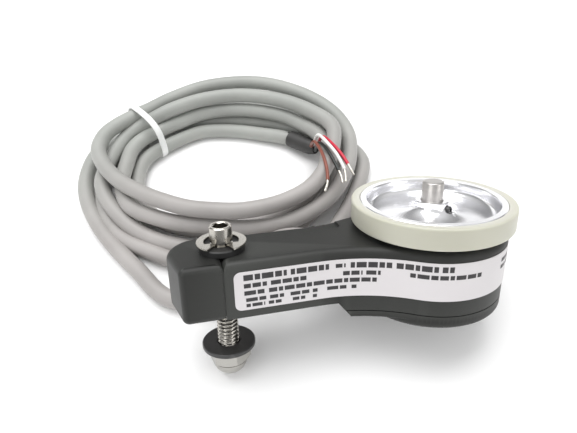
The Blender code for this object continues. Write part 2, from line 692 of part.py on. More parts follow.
def make_carrier():
    """The turned carrier that holds both bearings and hangs from the housing's top wall."""
    seat = BEARING_RADIUS + FIT
    shoulder = BEARING_RADIUS - 1.1 * MM
    flange_top = CEILING_HEIGHT - GAP
    flange_low = flange_top - CARRIER_FLANGE
    upper_seat = UPPER_BEARING - BEARING_WIDTH / 2 - FIT
    lower_seat = LOWER_BEARING + BEARING_WIDTH / 2 + FIT
    bottom = LOWER_BEARING - BEARING_WIDTH / 2 - 0.4 * MM
    carrier = turned(
        "bearing_carrier",
        [(CARRIER_RADIUS, CARRIER_NOSE), (CARRIER_RADIUS, flange_top), (CARRIER_FLANGE_RADIUS, flange_top),
         (CARRIER_FLANGE_RADIUS, flange_low), (CARRIER_RADIUS, flange_low), (CARRIER_RADIUS, bottom), (seat, bottom),
         (seat, lower_seat), (shoulder, lower_seat), (shoulder, upper_seat), (seat, upper_seat), (seat, CARRIER_NOSE)],
        WHEEL_AXIS, ALUMINIUM, steps=36,
    )
    notches = [
        rod(f"carrier_notch_{i + 1}", BOSS_RADIUS + 0.6 * MM, flange_low - 1 * MM, flange_top + 1 * MM, WHEEL_AXIS,
            None, centre=polar(COVER_SCREW_CIRCLE, angle), sides=20)
        for i, angle in enumerate(COVER_SCREW_ANGLES)
    ]
    cut(carrier, *notches)
    turned(
        "shaft_seal",
        [(seat - FIT, 16.9 * MM), (seat - FIT, UPPER_BEARING + BEARING_WIDTH / 2 + FIT),
         (SHAFT_RADIUS + 0.4 * MM, UPPER_BEARING + BEARING_WIDTH / 2 + FIT), (SHAFT_RADIUS + 0.4 * MM, 16.9 * MM)],
        WHEEL_AXIS, RUBBER, steps=32,
    )


def make_shaft():
    chamfer = 0.5 * MM
    turned(
        "encoder_shaft",
        [(0, SHAFT_TOP), (SHAFT_RADIUS - chamfer, SHAFT_TOP), (SHAFT_RADIUS, SHAFT_TOP - chamfer),
         (SHAFT_RADIUS, SHAFT_BOTTOM), (0, SHAFT_BOTTOM)],
        WHEEL_AXIS, STEEL, steps=32, closed=False,
    )


def make_disc():
    """The code disc on its hub's flange, read by the fork of the optical module."""
    bore = SHAFT_RADIUS + FIT
    flange = 8.0 * MM
    disc_low = DISC_HEIGHT - DISC_THICKNESS / 2
    turned(
        "disc_hub",
        [(DISC_HUB_RADIUS, 0.7 * MM), (DISC_HUB_RADIUS, disc_low - FIT), (flange, disc_low - FIT),
         (flange, SHAFT_BOTTOM - 0.1 * MM), (bore, SHAFT_BOTTOM - 0.1 * MM), (bore, 0.7 * MM)],
        WHEEL_AXIS, ALUMINIUM, steps=32,
    )
    turned(
        "code_disc",
        [(DISC_RADIUS, disc_low + DISC_THICKNESS), (DISC_RADIUS, disc_low), (DISC_HUB_RADIUS + FIT, disc_low),
         (DISC_HUB_RADIUS + FIT, disc_low + DISC_THICKNESS)],
        WHEEL_AXIS, GLASS, steps=48,
    )


def make_optics():
    """A C-shaped module on the board whose fork straddles the disc's edge, one arm lit and one arm sensing."""
    near, far = OPTICS_REACH
    half = OPTICS_HALF_WIDTH
    spin = radians(OPTICS_ANGLE)
    middle = polar((near + far) / 2, OPTICS_ANGLE)
    half_length = (far - near) / 2
    module = box(
        "optical_module", (middle[0] - half_length, middle[1] - half, BOARD_TOP + GAP),
        (middle[0] + half_length, middle[1] + half, OPTICS_TOP), WHEEL_AXIS, BLACK, rotation=spin,
    )
    slot_length = 12 * MM
    slot_middle = polar(DISC_RADIUS + 0.7 * MM - slot_length / 2, OPTICS_ANGLE)
    slot_half_height = DISC_THICKNESS / 2 + FORK_CLEARANCE
    slot = box(
        "optics_slot",
        (slot_middle[0] - slot_length / 2, slot_middle[1] - half - PAST, DISC_HEIGHT - slot_half_height),
        (slot_middle[0] + slot_length / 2, slot_middle[1] + half + PAST, DISC_HEIGHT + slot_half_height),
        WHEEL_AXIS, None, rotation=spin,
    )
    cut(module, slot)


def make_board():
    board = rod(
        "circuit_board", BOARD_RADIUS, BOARD_TOP - BOARD_THICKNESS, BOARD_TOP, WHEEL_AXIS, BOARD, sides=48
    )
    notches = [
        rod(f"board_notch_{i + 1}", BOSS_RADIUS + GAP, BOARD_TOP - 2 * MM, BOARD_TOP + 2 * MM, WHEEL_AXIS, None,
            centre=polar(COVER_SCREW_CIRCLE, angle), sides=20)
        for i, angle in enumerate(COVER_SCREW_ANGLES)
    ]
    holes = [
        rod(f"board_hole_{i + 1}", POST_SCREW_RADIUS + FIT, BOARD_TOP - 2 * MM, BOARD_TOP + 2 * MM, WHEEL_AXIS, None,
            centre=polar(POST_CIRCLE, angle), sides=12)
        for i, angle in enumerate(POST_ANGLES)
    ]
    cut(board, *notches, *holes)
    box(
        "board_connector", (-CONNECTOR_REACH[1], -CONNECTOR_HALF_WIDTH, BOARD_TOP + GAP),
        (-CONNECTOR_REACH[0], CONNECTOR_HALF_WIDTH, CONNECTOR_TOP), WHEEL_AXIS, PAPER, rounding=0.2 * MM,
    )
    post_top = CEILING_HEIGHT - GAP - CARRIER_FLANGE - GAP
    for i, angle in enumerate(POST_ANGLES):
        centre = polar(POST_CIRCLE, angle)
        post = rod(
            f"board_post_{i + 1}", POST_RADIUS, BOARD_TOP + GAP, post_top, WHEEL_AXIS, STEEL, centre=centre, sides=6
        )
        tap = rod(
            f"post_tap_{i + 1}", POST_SCREW_RADIUS + FIT, BOARD_TOP - PAST, BOARD_TOP + 5 * MM, WHEEL_AXIS, None,
            centre=centre, sides=12,
        )
        cut(post, tap)
        head_low = BOARD_TOP - BOARD_THICKNESS - 0.35 * MM
        head_high = BOARD_TOP - BOARD_THICKNESS - 0.05 * MM
        head_radius = POST_SCREW_RADIUS + 0.8 * MM
        tip = BOARD_TOP + 4.4 * MM
        turned(
            f"board_screw_{i + 1}",
            [(0, tip), (POST_SCREW_RADIUS, tip), (POST_SCREW_RADIUS, head_high), (head_radius, head_high),
             (head_radius, head_low), (0, head_low)],
            WHEEL_AXIS, STEEL, steps=12, centre=(*centre, 0), closed=False,
        )


# ---------------------------------------------------------------- wheel


def make_wheel():
    """The turned wheel: a thin rim, a dished floor and a hub that flares down into it."""
    rim = WHEEL_RADIUS - TYRE_THICKNESS
    dish = rim - RIM_WALL
    low = WHEEL_TOP - TYRE_WIDTH + 0.2 * MM
    floor = low + 1.8 * MM
    bore = SHAFT_RADIUS + FIT
    hub_top = WHEEL_TOP - 0.2 * MM
    hub = WHEEL_HUB_RADIUS
    wheel = turned(
        "wheel_hub",
        [(rim, WHEEL_TOP), (rim, low), (bore, low), (bore, hub_top), (hub - 0.3 * MM, hub_top),
         (hub, hub_top - 0.3 * MM), (hub + 0.6 * MM, hub_top - 1.6 * MM), (hub + 1.8 * MM, hub_top - 2.8 * MM),
         (hub + 3.8 * MM, floor + 0.5 * MM), (hub + 6.8 * MM, floor), (dish - 2.4 * MM, floor),
         (dish - 0.9 * MM, floor + 0.8 * MM), (dish - 0.4 * MM, floor + 2.2 * MM), (dish, WHEEL_TOP - 0.2 * MM),
         (dish + 0.2 * MM, WHEEL_TOP)],
        WHEEL_AXIS, ALUMINIUM, steps=44,
    )
    for i, angle in enumerate(SET_SCREW_ANGLES):
        direction = Vector((cos(radians(angle)), sin(radians(angle)), 0))
        at_height = Vector((0, 0, SET_SCREW_HEIGHT))
        hole = rod(f"set_screw_hole_{i + 1}", SET_SCREW_RADIUS + FIT, 0.0, 8 * MM, WHEEL_AXIS, None, sides=16)
        aim(hole, direction * 6.2 * MM + at_height, direction)
        screw = rod(f"wheel_set_screw_{i + 1}", SET_SCREW_RADIUS, 0.0, 2.6 * MM, WHEEL_AXIS, STEEL, sides=16)
        aim(screw, direction * (SHAFT_RADIUS + GAP + 1.3 * MM) + at_height, direction)
        cut(wheel, hole)


def make_tyre():
    inner = WHEEL_RADIUS - TYRE_THICKNESS + FIT
    low = WHEEL_TOP - TYRE_WIDTH
    chamfer = 0.5 * MM
    turned(
        "tyre",
        [(WHEEL_RADIUS - chamfer, WHEEL_TOP), (WHEEL_RADIUS, WHEEL_TOP - chamfer), (WHEEL_RADIUS, low + chamfer),
         (WHEEL_RADIUS - chamfer, low), (inner, low), (inner, WHEEL_TOP)],
        WHEEL_AXIS, URETHANE, steps=44,
    )


# ---------------------------------------------------------------- pivot


def make_bushes():
    bore = AXLE_RADIUS + 0.1 * MM
    upper_low = SPRING_POCKET[1] + GAP
    turned(
        "upper_bush",
        [(BUSH_FLANGE_RADIUS, ARM_TOP + GAP + BUSH_FLANGE), (BUSH_FLANGE_RADIUS, ARM_TOP + GAP),
         (BUSH_RADIUS, ARM_TOP + GAP), (BUSH_RADIUS, upper_low), (bore, upper_low),
         (bore, ARM_TOP + GAP + BUSH_FLANGE)],
        PIVOT_AXIS, BLACK, steps=32,
    )
    lower_high = SPRING_POCKET[0] - GAP
    turned(
        "lower_bush",
        [(BUSH_RADIUS, lower_high), (BUSH_RADIUS, -1.2 * MM), (bore, -1.2 * MM), (bore, lower_high)],
        PIVOT_AXIS, BLACK, steps=32,
    )


def make_axle():
    chamfer = 0.35 * MM
    groove_low = RING_HEIGHT - RING_THICKNESS / 2 - 0.1 * MM
    groove_high = RING_HEIGHT + RING_THICKNESS / 2 + 0.1 * MM
    axle = turned(
        "pivot_axle",
        [(0, AXLE_TOP), (AXLE_RADIUS - chamfer, AXLE_TOP), (AXLE_RADIUS, AXLE_TOP - chamfer),
         (AXLE_RADIUS, groove_high), (RING_GROOVE_RADIUS, groove_high), (RING_GROOVE_RADIUS, groove_low),
         (AXLE_RADIUS, groove_low), (AXLE_RADIUS, AXLE_BOTTOM + chamfer), (AXLE_RADIUS - chamfer, AXLE_BOTTOM),
         (0, AXLE_BOTTOM)],
        PIVOT_AXIS, STEEL, steps=32, closed=False,
    )
    corner = HEX_SOCKET / 2 / cos(pi / 6)
    socket = rod(
        "hex_socket", corner, AXLE_TOP - HEX_DEPTH, AXLE_TOP + 1 * MM, PIVOT_AXIS, None, sides=6, spin=radians(30)
    )
    cut(axle, socket)


def make_retaining_ring():
    """An open ring that snaps into the axle's groove, with three inner lugs and its mouth to the front."""
    contact = RING_GROOVE_RADIUS + FIT
    relief = 4.7 * MM
    mouth = radians(35)
    start = -pi / 2 + mouth
    end = 3 * pi / 2 - mouth
    outline = arc((0, 0), RING_RADIUS, start, end, 36)
    inner = []
    inner += arc((0, 0), contact + 0.25 * MM, end, end - 0.45, 3)
    inner += arc((0, 0), relief, end - 0.62, end - 1.9, 6)
    inner += arc((0, 0), contact, end - 2.12, end - 2.95, 4)
    inner += arc((0, 0), relief, end - 3.17, end - 4.45, 6)
    inner += arc((0, 0), contact + 0.25 * MM, start + 0.45, start, 3)
    ring = flat_plate("retaining_ring", [outline + inner], RING_THICKNESS, PIVOT_AXIS, STEEL)
    ring.location = (0, 0, RING_HEIGHT)


def make_washer_and_nut():
    turned(
        "clamp_washer",
        [(WASHER_RADIUS, WASHER_TOP), (WASHER_RADIUS, WASHER_TOP - WASHER_THICKNESS),
         (AXLE_RADIUS + GAP, WASHER_TOP - WASHER_THICKNESS), (AXLE_RADIUS + GAP, WASHER_TOP)],
        PIVOT_AXIS, BLACK_STEEL, steps=40,
    )
    nut_top = WASHER_TOP - WASHER_THICKNESS - GAP
    hex_low = nut_top - NUT_HEX
    nut = rod("dome_nut", NUT_FLATS / 2 / cos(pi / 6), hex_low, nut_top, PIVOT_AXIS, STEEL, sides=6, spin=radians(12))
    dome_points = [(DOME_RADIUS * cos(a), DOME_CENTRE + DOME_RADIUS * sin(a)) for a in
                   [-pi / 2 * i / 9 for i in range(10)]]
    dome_points[-1] = (0, DOME_CENTRE - DOME_RADIUS)
    dome = turned(
        "nut_dome", [(0, hex_low + PAST), (DOME_RADIUS, hex_low + PAST)] + dome_points, PIVOT_AXIS, None,
        steps=32, closed=False,
    )
    thread = rod("nut_thread", AXLE_RADIUS + GAP, AXLE_BOTTOM - GAP, nut_top + 1 * MM, PIVOT_AXIS, None, sides=24)
    cut(nut, dome, operation="UNION")
    cut(nut, thread)


def make_torsion_spring():
    """Open coils round the axle in the spring pocket, under the collar that the axle turns."""
    collar_low = SPRING_POCKET[1] - 1.5 * MM
    turned(
        "spring_collar",
        [(5.5 * MM, SPRING_POCKET[1] - 0.2 * MM), (5.5 * MM, collar_low), (AXLE_RADIUS + FIT, collar_low),
         (AXLE_RADIUS + FIT, SPRING_POCKET[1] - 0.2 * MM)],
        PIVOT_AXIS, STEEL, steps=32,
    )
    low = SPRING_POCKET[0] + SPRING_WIRE + 0.1 * MM
    high = collar_low - SPRING_WIRE - 0.2 * MM
    count = 10 * SPRING_TURNS
    points = []
    for i in range(count + 1):
        turn = 2 * pi * i / 10
        points.append((SPRING_RADIUS * cos(turn), SPRING_RADIUS * sin(turn), low + (high - low) * i / count))
    tube("torsion_spring", points, SPRING_WIRE, PIVOT_AXIS, STEEL, 1)


# ---------------------------------------------------------------- cable


def make_outlet():
    """The tapered strain relief in the arm's rear boss, and the stretch of cable from it to the board."""
    mouth = GLAND_BOSS + GAP
    tip_radius = CABLE_DIAMETER / 2 + 0.9 * MM
    neck = GLAND_BORE - 0.2 * MM
    lead_radius = 1.9 * MM
    bore = lead_radius + GAP
    gland = turned(
        "cable_gland",
        [(tip_radius, GLAND_LENGTH + mouth), (GLAND_RADIUS, mouth + 2.5 * MM), (GLAND_RADIUS, mouth), (neck, mouth),
         (neck, mouth - 4 * MM), (bore, mouth - 4 * MM), (bore, GLAND_LENGTH + mouth)],
        STANCE_EMPTY, RUBBER, steps=28,
    )
    aim(gland, GLAND_START, GLAND_DIRECTION)
    above_connector = Vector((AXLE_SPACING, 0.0, 0.0))
    inner = [above_connector + Vector(p) * MM for p in ((-16.3, 0.0, 1.0), (-16.2, 0.2, 4.6), (-17.0, 2.0, 7.0))]
    inner += [GLAND_START + GLAND_DIRECTION * d * MM for d in (-5.0, 2.0, 8.0, 14.5)]
    tube("inner_lead", smooth_route(inner, 2.5 * MM), lead_radius, STANCE_EMPTY, JACKET)


def make_free_cable():
    for name, route in (("cable_lead", LEAD_ROUTE), ("cable_loose_turn", LOOSE_ROUTE), ("cable_tail", TAIL_ROUTE)):
        points = smooth_route([Vector(p) * MM for p in route], 2.2 * CABLE_DIAMETER)
        tube(name, points, CABLE_DIAMETER / 2 - 0.05 * MM, None, JACKET)
    sleeve = smooth_route([Vector(p) * MM for p in SLEEVE_ROUTE], 5 * MM)
    tube("heat_shrink_sleeve", sleeve, SLEEVE_RADIUS, None, RUBBER)
    for name, route in WIRE_ROUTES.items():
        tube(name, smooth_route([Vector(p) * MM for p in route], 3.2 * MM), WIRE_RADIUS, None, WIRE_COLOURS[name], 1)


def make_coil():
    """The tied turns as one flat oval ring, and the tie that goes round them, with room for it underneath."""
    outer = arc((0, 0), COIL_RADII[0], 0, 2 * pi * 47 / 48, 47, COIL_RADII[1])
    shift = COIL_HOLE_CENTRE - COIL_CENTRE
    hole = arc(shift, COIL_HOLE_RADII[0], 0, 2 * pi * 39 / 40, 39, COIL_HOLE_RADII[1])
    bottom = 0.05 * MM
    coil = flat_plate("cable_coil", [outer, hole], COIL_TOP - bottom, None, JACKET)
    coil.location = (*COIL_CENTRE, (COIL_TOP + bottom) / 2)
    coil = to_mesh(coil)
    direction = Vector((cos(TIE_ANGLE), sin(TIE_ANGLE), 0))
    reach_out = 1 / hypot(direction.x / COIL_RADII[0], direction.y / COIL_RADII[1])
    reach_in = 1 / hypot(direction.x / COIL_HOLE_RADII[0], direction.y / COIL_HOLE_RADII[1])
    out_end = reach_out + 2.4 * MM
    in_end = reach_in + shift.dot(direction.xy) - 1.8 * MM
    tie_low = 0.1 * MM
    tie_high = COIL_TOP + GAP + TIE_THICKNESS
    length = out_end - in_end
    half = length / 2
    outline = [(-half, tie_low), (half, tie_low), (half, tie_high), (-half, tie_high)]
    wall = TIE_THICKNESS
    hole_outline = [(-half + wall, tie_low + wall), (half - wall, tie_low + wall), (half - wall, tie_high - wall),
                    (-half + wall, tie_high - wall)]
    tie = flat_plate("cable_tie", [outline, hole_outline], TIE_WIDTH, None, NYLON)
    middle = COIL_CENTRE + direction.xy * (in_end + half)
    tie.location = (*middle, 0)
    tie.rotation_euler = Euler((pi / 2, 0, TIE_ANGLE), "XYZ")
    notch = box(
        "tie_notch", (-half - 2 * MM, -TIE_WIDTH / 2 - GAP, -1 * MM),
        (half + 2 * MM, TIE_WIDTH / 2 + GAP, tie_low + wall + GAP), None, None,
    )
    notch.location = (*middle, (tie_low + wall + GAP - 1 * MM) / 2)
    notch.rotation_euler = (0, 0, TIE_ANGLE)
    cut(coil, notch)


def to_mesh(curve_object):
    """Replaces a curve object by a mesh object of the same name and place, with its caps welded."""
    bpy.context.view_layer.update()
    graph = bpy.context.evaluated_depsgraph_get()
    mesh = bpy.data.meshes.new_from_object(curve_object.evaluated_get(graph))
    name = curve_object.name
    matrix = curve_object.matrix_world.copy()
    curve_object.name = name + "_curve"
    bm = bmesh.new()
    bm.from_mesh(mesh)
    bmesh.ops.remove_doubles(bm, verts=bm.verts, dist=0.000001)
    bmesh.ops.recalc_face_normals(bm, faces=bm.faces[:])
    bm.to_mesh(mesh)
    bm.free()
    obj = bpy.data.objects.new(name, mesh)
    PARTS.objects.link(obj)
    obj.matrix_world = matrix
    bpy.data.objects.remove(curve_object, do_unlink=True)
    return obj


# ---------------------------------------------------------------- assembly

make_arm_housing()
make_end_cap()
for dowel_side, dowel_sign in (("front", -1), ("rear", 1)):
    dowel("cap_dowel_" + dowel_side, dowel_sign, DOWEL_RADIUS, 0.0, STEEL)
make_cover()
make_cover_seal()
make_cover_screws()
make_label()
make_carrier()
make_bearings()
make_shaft()
make_disc()
make_optics()
make_board()
make_wheel()
make_tyre()
make_bushes()
make_axle()
make_retaining_ring()
make_washer_and_nut()
make_torsion_spring()
make_outlet()
make_free_cable()
make_coil()
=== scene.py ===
"""Looks of the measuring-wheel rotary encoder: its finer shapes, its coiled cable and its materials.

Lengths are in millimetres in the constants and routes, and in metres in Blender. The encoder leans back on
the table, so its pieces are drawn level, with the pivot axle at X = 0 and the wheel at +X, and the matrix
LEVEL leans them. The cable is drawn in the table's frame.
"""

import json
from math import atan2, cos, pi, radians, sin, sqrt

import bmesh
import bpy
from mathutils import Matrix, Vector


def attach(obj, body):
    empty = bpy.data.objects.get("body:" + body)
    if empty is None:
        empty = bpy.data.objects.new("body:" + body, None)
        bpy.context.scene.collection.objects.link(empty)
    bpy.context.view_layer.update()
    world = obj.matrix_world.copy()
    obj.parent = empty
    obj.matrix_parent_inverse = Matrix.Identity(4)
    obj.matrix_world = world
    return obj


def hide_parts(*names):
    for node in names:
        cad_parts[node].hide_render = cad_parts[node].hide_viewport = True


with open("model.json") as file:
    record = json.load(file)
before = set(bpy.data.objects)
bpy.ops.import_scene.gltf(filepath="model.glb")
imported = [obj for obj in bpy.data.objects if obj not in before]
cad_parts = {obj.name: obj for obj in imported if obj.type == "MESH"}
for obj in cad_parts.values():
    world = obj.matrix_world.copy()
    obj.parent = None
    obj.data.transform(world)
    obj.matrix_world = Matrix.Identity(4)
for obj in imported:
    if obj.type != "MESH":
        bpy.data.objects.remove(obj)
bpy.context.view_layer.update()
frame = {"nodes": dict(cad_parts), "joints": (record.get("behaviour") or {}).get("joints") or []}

MM = 0.001

# ---------------------------------------------------------------- sizes, in millimetres

ARM_HALF_WIDTH = 10.4
ARM_TOP = 16.7
BODY_RADIUS = 22.5
BLEND_RADIUS = 45.0
HOUSING_WALL = 2.7
CEILING = 2.2
PARTING = -2.5
COVER_BOTTOM = -6.9
COVER_FLOOR = 1.0
TAB_BOTTOM = -4.8
STEP_START = 31.0
STEP_END = 34.8
EDGE_ROUND = 2.3
CAP_END = -15.3
SEAM = -1.0
SEAM_LINE = 0.06
CAVITY_RADIUS = BODY_RADIUS - HOUSING_WALL
DOWEL_HOLE_RADIUS = 1.65
DOWEL_HOLE_DEPTH = 6.8
DOWEL_OFFSET = 8.3
SEAL_GROOVE = (19.5, 21.0)
SEAL_GROOVE_TOP = -1.3
GAP = 0.3
PAST = 1.0  # how far a cutter reaches past a face

WHEEL_RADIUS = 24.25
TYRE_THICKNESS = 2.6
WHEEL_TOP = 24.7
TYRE_WIDTH = 6.5
RIM_WALL = 2.25
SHAFT_RADIUS = 3.175
SHAFT_TOP = 30.2
SHAFT_BOTTOM = -3.2
SET_SCREW_RADIUS = 1.2
SET_SCREW_HEIGHT = 22.2
SET_SCREW_ANGLES = (-54.0, 66.0)
CARRIER_RADIUS = 9.7

COVER_SCREW_CIRCLE = 18.6
COVER_SCREW_RADIUS = 1.1
COVER_SCREW_HEAD = 2.1
COVER_SCREW_TOP = 6.6
COVER_SINK = 2.0
COVER_SCREW_ANGLES = (30.0, 150.0, 210.0, 330.0)
BOSS_RADIUS = 3.1
BOARD_RADIUS = 18.9

AXLE_RADIUS = 3.175
AXLE_TOP = 23.9
AXLE_BOTTOM = -21.4
AXLE_CHAMFER = 0.35
AXLE_SIDES = 56
THREAD_TOP = -0.6
THREAD_PITCH = 1.27
THREAD_DEPTH = 0.55
THREAD_ROWS = 130
HEX_SOCKET = 3.97
HEX_DEPTH = 4.5
BUSH_RADIUS = 4.4
BUSH_FLANGE_RADIUS = 6.4
BUSH_FLANGE = 1.5
SPRING_POCKET = (4.2, 12.6)
SPRING_POCKET_RADIUS = 6.2
RING_HEIGHT = 18.95
RING_THICKNESS = 0.65
RING_RADIUS = 7.0
RING_GROOVE_RADIUS = 2.55
WASHER_RADIUS = 7.94
WASHER_TOP = -13.4
WASHER_THICKNESS = 1.3
NUT_FLATS = 11.1
NUT_HEX = 4.4
NUT_TURN = radians(12.0)
DOME_RADIUS = 5.35
DOME_CENTRE = -19.2

LABEL_BOTTOM = 2.4
LABEL_TOP = 14.0
LABEL_START = 1.5
LABEL_THICKNESS = 0.14
LABEL_GAP = 0.06
LABEL_CORNER = 1.8
LABEL_END_ANGLE = radians(12.0)

GLAND_ANGLE = radians(128.0)
GLAND_START = Vector((41.0, 8.5, 7.4))
GLAND_BOSS = 7.2
GLAND_LENGTH = 8.0

CABLE_DIAMETER = 6.0
WIRE_RADIUS = 0.65
STRAND_RADIUS = 0.42
SLEEVE_RADIUS = 3.4
TIE_HALF_WIDTH = 1.3
TIE_THICKNESS = 0.85
TIE_LOCK = (4.6, 4.4, 3.2)
TIE_LOCK_ROUND = 0.6

# ---------------------------------------------------------------- the encoder's lean

JOINTS = {joint["name"]: joint for joint in frame["joints"]}
PIVOT_PLACE = Vector(JOINTS["torsion_pivot"]["pos_m"])
UPWARD = Vector(JOINTS["torsion_pivot"]["axis"]).normalized()
ALONG = Vector(JOINTS["wheel_spin"]["pos_m"]) - PIVOT_PLACE
ALONG -= UPWARD * ALONG.dot(UPWARD)
AXLE_SPACING = ALONG.length / MM
ALONG.normalize()
LEVEL = Matrix((ALONG, UPWARD.cross(ALONG), UPWARD)).transposed().to_4x4()
LEVEL.translation = PIVOT_PLACE
WHEEL_AXIS = Vector((AXLE_SPACING, 0.0, 0.0))
WHEEL_PLACE = (AXLE_SPACING, 0.0)


def on_table(point):
    """A point of the level encoder, in millimetres, as a point on the table in metres."""
    return LEVEL @ (Vector(point) * MM)


# ---------------------------------------------------------------- camera

CAMERA_PLACE = Vector((-0.03686, -0.08163, 0.14844))
CAMERA_LENS = 30.85
CAMERA_AXES = ((0.97407, -0.22622, 0.00367), (0.17050, 0.74462, 0.64534), (-0.14872, -0.62798, 0.76389))

camera_data = bpy.data.cameras.new("camera")
camera_data.lens = CAMERA_LENS
camera_data.sensor_width = 36.0
camera_data.clip_start = 0.01
camera = bpy.data.objects.new("camera", camera_data)
bpy.context.scene.collection.objects.link(camera)
camera.matrix_world = Matrix.Translation(CAMERA_PLACE) @ Matrix(CAMERA_AXES).transposed().to_4x4()
bpy.context.scene.camera = camera

# ---------------------------------------------------------------- cable routes

# Where the cable leaves the strain relief and comes down on the table behind the arm.
LEAD_ROUTE = [
    (-9.0, 20.4, 13.9), (-14.4, 23.0, 10.4), (-22.0, 23.5, 6.5), (-32.0, 22.5, 4.0), (-42.0, 23.0, 3.2),
    (-51.0, 26.0, 3.1), (-60.5, 32.4, 3.1),
]
# The loose turn, which lies under the arm and outside the tied ones.
LOOSE_ROUTE = [
    (28.9, 61.0, 3.1), (26.1, 53.4, 3.1), (18.9, 42.0, 3.1), (9.9, 31.0, 3.1), (0.9, 22.0, 3.1),
    (-9.1, 15.0, 3.1), (-21.1, 9.0, 3.1), (-33.1, 6.0, 3.1), (-45.1, 7.0, 3.1), (-57.1, 12.5, 3.1),
    (-66.1, 26.0, 3.1), (-73.6, 38.0, 3.1), (-80.1, 51.0, 3.1), (-84.6, 67.0, 3.1), (-84.5, 78.0, 3.1),
    (-80.7, 90.0, 3.1),
]
# Tied turns, clockwise from above round COIL_MIDDLE: direction in degrees, distance out and height.
COIL_MIDDLE = Vector((-29.4, 62.9, 0.0))
FIRST_TURN = [
    (-155, 47.2, 3.1), (180, 48.6, 3.1), (150, 48.2, 3.1), (120, 44.5, 3.1), (96, 39.6, 3.1),
    (69, 38.2, 3.1), (46, 41.0, 3.1), (31, 44.0, 3.1), (21, 48.2, 3.1), (13, 53.0, 3.1), (6, 56.8, 3.1),
]
TIED_TURNS = [
    (140, 54.6, 3.3), (122, 50.6, 3.6), (90, 49.5, 3.3), (60, 50.0, 3.3), (38, 52.6, 4.6),
    (24, 52.2, 8.4), (14, 49.8, 9.3), (4, 47.4, 7.4), (-8, 45.0, 4.0), (-25, 41.8, 3.1), (-60, 37.5, 3.1),
    (-95, 36.0, 3.1), (-127, 37.6, 4.2), (-146, 40.8, 5.0), (-162, 43.8, 6.8), (178, 47.4, 9.0),
    (158, 46.6, 9.2), (141, 47.0, 9.4), (132, 44.2, 11.0), (124, 41.6, 13.0), (114, 39.6, 14.6),
    (94, 39.2, 15.2), (69, 41.0, 15.2), (44, 43.4, 15.4), (24, 45.6, 16.2), (8, 47.0, 17.4),
    (-9, 43.2, 17.4), (-25, 40.2, 16.6), (-40, 37.6, 16.3), (-59, 33.6, 16.3), (-84, 29.9, 16.5),
    (-106, 28.3, 16.6), (-123, 28.9, 16.6), (-141, 30.5, 16.5), (-157, 33.6, 16.0), (-174, 39.3, 15.2),
    (172, 45.4, 14.6), (161, 50.2, 14.5), (151, 51.6, 14.4), (143, 50.6, 14.2), (135, 49.2, 13.8),
    (123, 48.4, 12.8), (109, 50.2, 12.0), (89, 52.9, 12.2), (64, 56.0, 12.0), (42, 56.6, 11.8),
    (24, 57.0, 11.0), (10, 55.6, 10.2), (-1, 52.6, 10.0), (-14, 49.2, 10.0), (-35, 44.2, 9.8),
    (-60, 37.8, 9.6), (-84, 32.6, 9.9), (-104, 30.2, 10.4), (-120, 31.2, 10.6), (-138, 33.7, 10.5),
    (-161, 39.0, 10.0), (180, 39.8, 9.4), (163, 39.6, 9.0), (150, 40.8, 8.8), (140, 40.4, 8.6),
    (130, 39.0, 8.2), (115, 37.2, 8.6), (96, 37.2, 9.2), (69, 38.2, 9.2), (42, 40.9, 9.2),
    (27, 41.9, 9.6), (18, 42.6, 10.8), (8, 43.2, 11.4), (-5, 42.0, 10.8), (-20, 39.0, 9.4),
    (-40, 35.0, 8.6), (-60, 30.6, 6.6), (-84, 27.0, 4.0), (-104, 26.4, 3.1), (-138, 30.0, 3.1),
    (-160, 33.0, 3.1), (180, 35.0, 3.2), (158, 36.2, 3.5), (146, 36.2, 3.4), (134, 34.6, 3.1),
    (118, 33.0, 3.1), (101, 32.6, 3.1), (84, 31.0, 3.1), (66, 30.6, 3.1), (50, 31.5, 3.4),
    (38, 33.8, 3.8), (29, 36.2, 4.2),
]
SLEEVE_ROUTE = [(2.2, 80.6, 4.2), (5.3, 76.6, 4.8), (8.3, 72.9, 5.4), (10.9, 69.6, 6.2)]
WIRE_ROUTES = {
    "red": [
        (9.7, 71.2, 6.4), (10.7, 68.3, 8.6), (10.4, 65.4, 13.0), (11.0, 62.4, 18.8), (12.7, 54.0, 21.5),
        (14.4, 47.4, 21.5), (15.4, 42.6, 20.7), (16.4, 38.6, 19.4),
    ],
    "white": [
        (9.4, 71.0, 7.0), (9.6, 68.2, 10.2), (8.9, 65.6, 15.0), (9.2, 62.2, 20.2), (10.9, 53.4, 22.3),
        (12.3, 46.6, 22.3), (13.2, 40.4, 20.6), (12.2, 35.6, 19.8),
    ],
    "brown": [
        (8.7, 71.4, 6.6), (8.5, 68.6, 9.0), (7.4, 65.0, 13.4), (7.3, 60.6, 18.4), (7.6, 51.4, 20.6),
        (7.2, 43.4, 20.2), (5.6, 36.8, 19.6), (3.6, 33.2, 19.2),
    ],
    "black": [
        (9.2, 70.4, 5.8), (9.9, 67.4, 7.4), (9.2, 64.6, 11.6), (9.3, 60.4, 17.6), (10.0, 51.6, 21.0),
        (11.0, 43.4, 20.4), (11.3, 38.6, 19.9), (11.0, 35.6, 19.6),
    ],
}
BARE_TIP = 5.0


